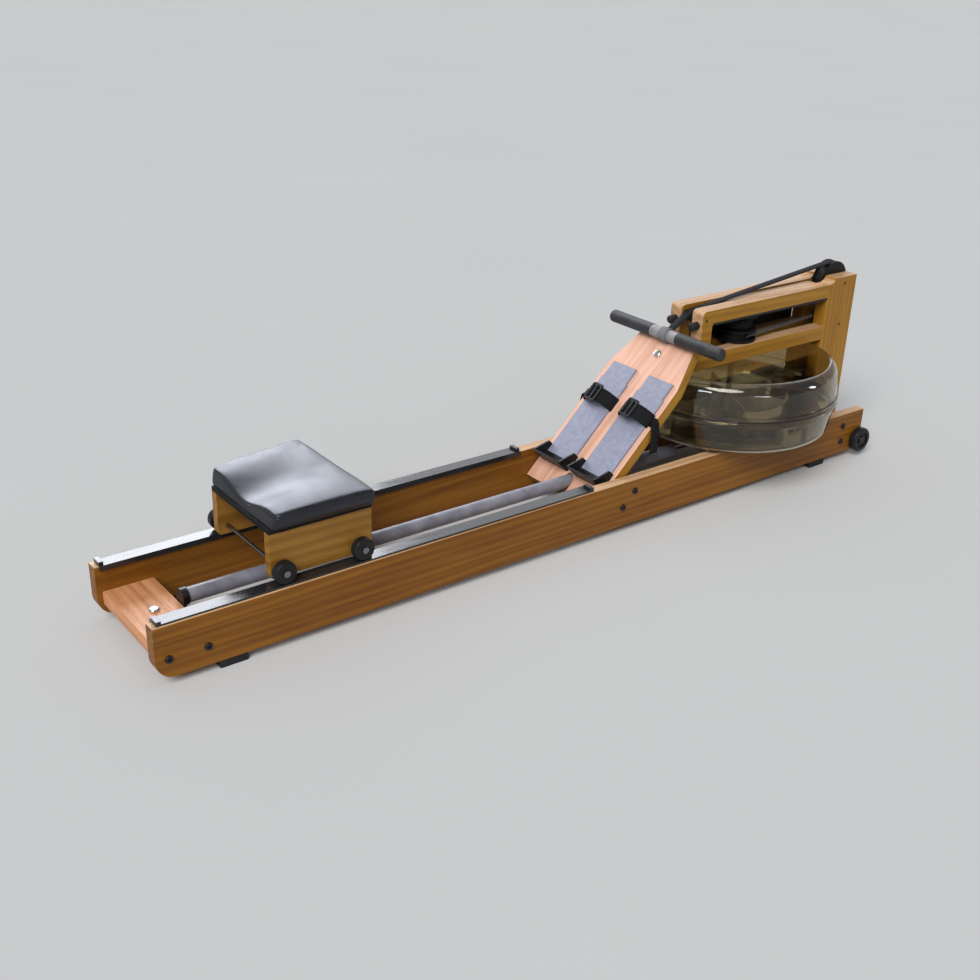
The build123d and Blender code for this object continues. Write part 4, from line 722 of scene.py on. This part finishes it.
def pad_crown(x, y):
    """Height of the pad's top over its underside; x and y run from -1 to 1."""
    side = abs(y)
    channel = PAD_CHANNEL + PAD_CHANNEL_GAIN * max(0.0, (PAD_DEEPENING - x) / (1 + PAD_DEEPENING))
    valley = max(0.0, 1 - side / PAD_CHANNEL_SHARE)
    dip = channel * valley**2 * (3 - 2 * valley)
    brow = PAD_BROW * max(0.0, (side - PAD_BROW_SHARE) / (1 - PAD_BROW_SHARE)) ** 2
    return PAD_CROWN + PAD_RISE * x - dip - brow - PAD_END_DROP * abs(x) ** 8


def pad_ring(inset):
    """Points of a plain outline, drawn in by inset, evenly spaced from the middle of one side."""
    half_x, half_y = pad_reach - inset, PAD_MIDDLE - inset
    corner = min(PAD_CORNER + 0.3 * inset, 0.9 * half_x)
    straight = [2 * (half_y - corner), 2 * (half_x - corner)] * 2
    arc = corner * math.pi / 2
    total = sum(straight) + 4 * arc
    points = []
    for number in range(PAD_RING):
        left = (number / PAD_RING * total + straight[0] / 2) % total
        for leg in range(4):
            spin = Matrix.Rotation(leg * math.pi / 2, 2)
            wide, deep = (half_x, half_y) if leg % 2 == 0 else (half_y, half_x)
            if left <= straight[leg]:
                points.append(spin @ Vector((wide, -deep + corner + left)))
                break
            left -= straight[leg]
            if left <= arc:
                swing = Vector((math.cos(left / corner), math.sin(left / corner))) * corner
                points.append(spin @ (Vector((wide - corner, deep - corner)) + swing))
                break
            left -= arc
    return points


# Rings of the pad: inset of each, and its height as a share of the crown's
pad_levels = [(0.06, 0.0), (0.03, 0.0), (0.0032, 0.0), (0.0013, 0.02), (0.0006, 0.09), (0.0005, 0.30)]
pad_levels += [(0.0004, 0.50), (0.0002, 0.65), (0.0, 0.745), (0.0, 0.77), (0.0, 0.795), (0.0003, 0.87)]
pad_levels += [(0.0012, 0.935), (0.0028, 0.977), (0.006, 0.996)]
pad_levels += [(PAD_TOP_INSET + PAD_TOP_STEP * step, 1.0) for step in range(PAD_TOP_RINGS)]
bottom_levels, seam_level, top_level = 3, 9, 14

# Points of the pad, and how firmly the filling leaves each in place
pad_points, pad_hold = [], []
for level, (inset, share) in enumerate(pad_levels):
    fullness = 1 - (1 - min(1.0, share / PAD_FULL_SHARE)) ** 2
    for spot in pad_ring(inset):
        x, y = spot.x / pad_reach, spot.y / PAD_MIDDLE
        half = PAD_FOOT + (PAD_MIDDLE + PAD_FLARE * x - PAD_FOOT) * fullness
        drawn = 1 - min(1.0, share / PAD_DRAWN_SHARE) * PAD_DRAW_IN / pad_reach
        pad_points.append(pad_base + Vector((spot.x * drawn, y * half, share * pad_crown(x, y))))
        hold = PAD_SIDE_HOLD
        if level < bottom_levels:
            hold = 1.0
        elif level >= top_level:
            nearness = 0.5 + 0.5 * math.cos(math.pi * min(abs(y) / PAD_HELD_SHARE, 1))
            hold = PAD_CHANNEL_HOLD * (1 - x) * nearness
        pad_hold.append(hold)

# Faces of the pad: the underside, the rings and the strip that closes the top
pad_faces = [tuple(range(PAD_RING))[::-1]]
for level in range(len(pad_levels) - 1):
    for number in range(PAD_RING):
        a = level * PAD_RING + number
        b = level * PAD_RING + (number + 1) % PAD_RING
        pad_faces.append((a, b, b + PAD_RING, a + PAD_RING))
inner_ring = (len(pad_levels) - 1) * PAD_RING
opposite = PAD_RING // 2
for number in range(-PAD_RING // 4, PAD_RING // 4):
    corners = [number, number + 1, opposite - number - 1, opposite - number]
    corners = [inner_ring + k % PAD_RING for k in corners]
    pad_faces.append(tuple(dict.fromkeys(corners)))
pad = put_mesh("seat_cushion", pad_points, pad_faces, pad_material)

# Filling of the pad, evened out and held to a small swell
held = pad.vertex_groups.new(name="held")
for number, hold in enumerate(pad_hold):
    held.add([number], hold, "REPLACE")
cloth = pad.modifiers.new("filling", "CLOTH")
cloth.settings.quality = 5
cloth.settings.mass = 0.25
cloth.settings.tension_stiffness = 12
cloth.settings.compression_stiffness = 12
cloth.settings.bending_stiffness = 0.4
cloth.settings.use_pressure = True
cloth.settings.uniform_pressure_force = 1.8
cloth.settings.vertex_group_mass = "held"
cloth.settings.effector_weights.gravity = 0
cloth.point_cache.frame_start = 1
cloth.point_cache.frame_end = FILLING_FRAMES
for number in range(1, FILLING_FRAMES + 1):
    scene.frame_set(number)
filled = pad.evaluated_get(bpy.context.evaluated_depsgraph_get())
moved = [v.co.copy() for v in filled.to_mesh().vertices]
filled.to_mesh_clear()
links = [[] for _ in moved]
for edge in pad.data.edges:
    first, second = edge.vertices
    links[first].append(second)
    links[second].append(first)
steps = [place - vertex.co for vertex, place in zip(pad.data.vertices, moved)]
for _ in range(EVENING_ROUNDS):
    shared = [sum((steps[k] for k in near), Vector()) / len(near) for near in links]
    steps = [step.lerp(share, 0.5) for step, share in zip(steps, shared)]
for vertex, step in zip(pad.data.vertices, steps):
    vertex.co += step * (PAD_SWELL / (PAD_SWELL + step.length))
scene.frame_set(1)
pad.modifiers.remove(cloth)

# A seam round the pad, drawn in below the rounded edge
seam_start = seam_level * PAD_RING
seam_places = [pad.data.vertices[seam_start + number].co.copy() for number in range(PAD_RING)]
for number, place in enumerate(seam_places):
    along = seam_places[(number + 1) % PAD_RING] - seam_places[number - 1]
    pad.data.vertices[seam_start + number].co = place - along.cross(Vector((0, 0, 1))).normalized() * PAD_SEAM
pad.modifiers.new("smooth", "SUBSURF").render_levels = 1
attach(pad, "seat")
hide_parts("seat_pad")

# Recoil cord: taut from the drum round both recoil pulleys and back along the tube
upper, lower = middle("recoil_pulley_upper"), middle("recoil_pulley_lower")
cord_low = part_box("recoil_cord")[0]
cord_start = Vector((drum.x, cord_low[1] + CORD_DIAMETER / 2, upper.z + CORD_TURN))
upper_corner = Vector((upper.x + CORD_TURN, 0, upper.z + CORD_TURN))
lower_corner = Vector((lower.x + CORD_TURN, 0, lower.z - CORD_TURN))
cord_end = Vector((cord_low[0], 0, lower.z - CORD_TURN))
cord_route = [
    cord_start,
    upper_corner + (cord_start - upper_corner).normalized() * CORD_LEAD,
    upper_corner,
    upper_corner - Vector((0, 0, CORD_LEAD)),
    lower_corner + Vector((0, 0, CORD_LEAD)),
    lower_corner,
    lower_corner - Vector((CORD_LEAD, 0, 0)),
    cord_end,
]
cord_curve = bpy.data.curves.new("recoil_line", "CURVE")
cord_curve.dimensions = "3D"
cord_curve.bevel_depth = CORD_DIAMETER / 2
cord_curve.bevel_resolution = 4
cord_curve.resolution_u = 16
cord_curve.use_fill_caps = True
cord_spline = cord_curve.splines.new("NURBS")
cord_spline.points.add(len(cord_route) - 1)
for spot, point in zip(cord_spline.points, cord_route):
    spot.co = (*point, 1)
cord_spline.order_u = 3
cord_spline.use_endpoint_u = True
cord_curve.materials.append(cord_material)
cord = bpy.data.objects.new("recoil_line", cord_curve)
scene.collection.objects.link(cord)
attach(cord, "frame")
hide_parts("recoil_cord")

# Floor
floor_corners = [(FLOOR_REACH * x, FLOOR_REACH * y, 0) for x, y in ((-1, -1), (1, -1), (1, 1), (-1, 1))]
floor = put_mesh("floor", floor_corners, [(0, 1, 2, 3)], floor_paint(), smooth=False)
floor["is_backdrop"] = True

# Light all round, and a soft key from behind the camera
world = bpy.data.worlds.new("studio")
scene.world = world
world.use_nodes = True
background = world.node_tree.nodes["Background"]
background.inputs["Color"].default_value = (0.97, 0.98, 1.0, 1)
background.inputs["Strength"].default_value = 0.36

sun_data = bpy.data.lights.new("key", "SUN")
sun_data.energy = 2.8
sun_data.angle = math.radians(35)
sun_data.color = (1.0, 0.97, 0.94)
sun = bpy.data.objects.new("key", sun_data)
sun.rotation_euler = Vector((0.60, 0.42, -0.68)).to_track_quat("-Z", "Y").to_euler()
scene.collection.objects.link(sun)

# What the soft boxes light: all pieces, or the tank alone
machine = bpy.data.collections.new("machine")
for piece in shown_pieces():
    machine.objects.link(piece)
tank = bpy.data.collections.new("tank")
for node in ("tank_lower", "tank_upper"):
    tank.objects.link(nodes[node])

# Soft boxes: name, place, aim, width, height, power and what each lights
machine_aim, tank_aim = (-0.5, 0, 0.2), (0.64, 0, 0.25)
boxes = (
    ("window", (0.95, 7.48, 4.06), machine_aim, 5.9, 4.6, 760, machine),
    ("wall", (6.2, 5.3, 3.6), machine_aim, 5.9, 4.6, 110, machine),
    ("glint rear", (-4.40, -1.53, 0.75), tank_aim, 1.3, 0.9, 60, tank),
    ("glint side", (-0.62, -5.10, 0.60), tank_aim, 1.5, 0.5, 42, tank),
    ("glint front", (4.44, -3.17, 1.81), tank_aim, 0.6, 1.5, 50, tank),
)
for name, place, aim, width, height, power, lit in boxes:
    panel = bpy.data.lights.new(name, "AREA")
    panel.shape = "RECTANGLE"
    panel.size, panel.size_y = width, height
    panel.energy = power
    panel.color = (0.90, 0.93, 1.0)
    box = bpy.data.objects.new(name, panel)
    box.location = place
    box.visible_camera = False
    box.visible_transmission = False
    box.rotation_euler = (Vector(aim) - box.location).to_track_quat("-Z", "Y").to_euler()
    box.light_linking.receiver_collection = lit
    scene.collection.objects.link(box)

# Camera
forward = Vector((math.cos(PITCH) * math.cos(YAW), math.cos(PITCH) * math.sin(YAW), -math.sin(PITCH)))
level_right = Vector((math.sin(YAW), -math.cos(YAW), 0))
level_above = level_right.cross(forward)
right = level_right * math.cos(ROLL) + level_above * math.sin(ROLL)
above = level_above * math.cos(ROLL) - level_right * math.sin(ROLL)
camera_data = bpy.data.cameras.new("camera")
camera_data.lens = FOCAL_LENGTH_MM
camera_data.sensor_width = SENSOR_WIDTH_MM
camera = bpy.data.objects.new("camera", camera_data)
camera_turn = Matrix((right, above, -forward)).transposed().to_4x4()
camera.matrix_world = Matrix.Translation(CAMERA_PLACE) @ camera_turn
scene.collection.objects.link(camera)
scene.camera = camera
scene.view_settings.view_transform = "Standard"
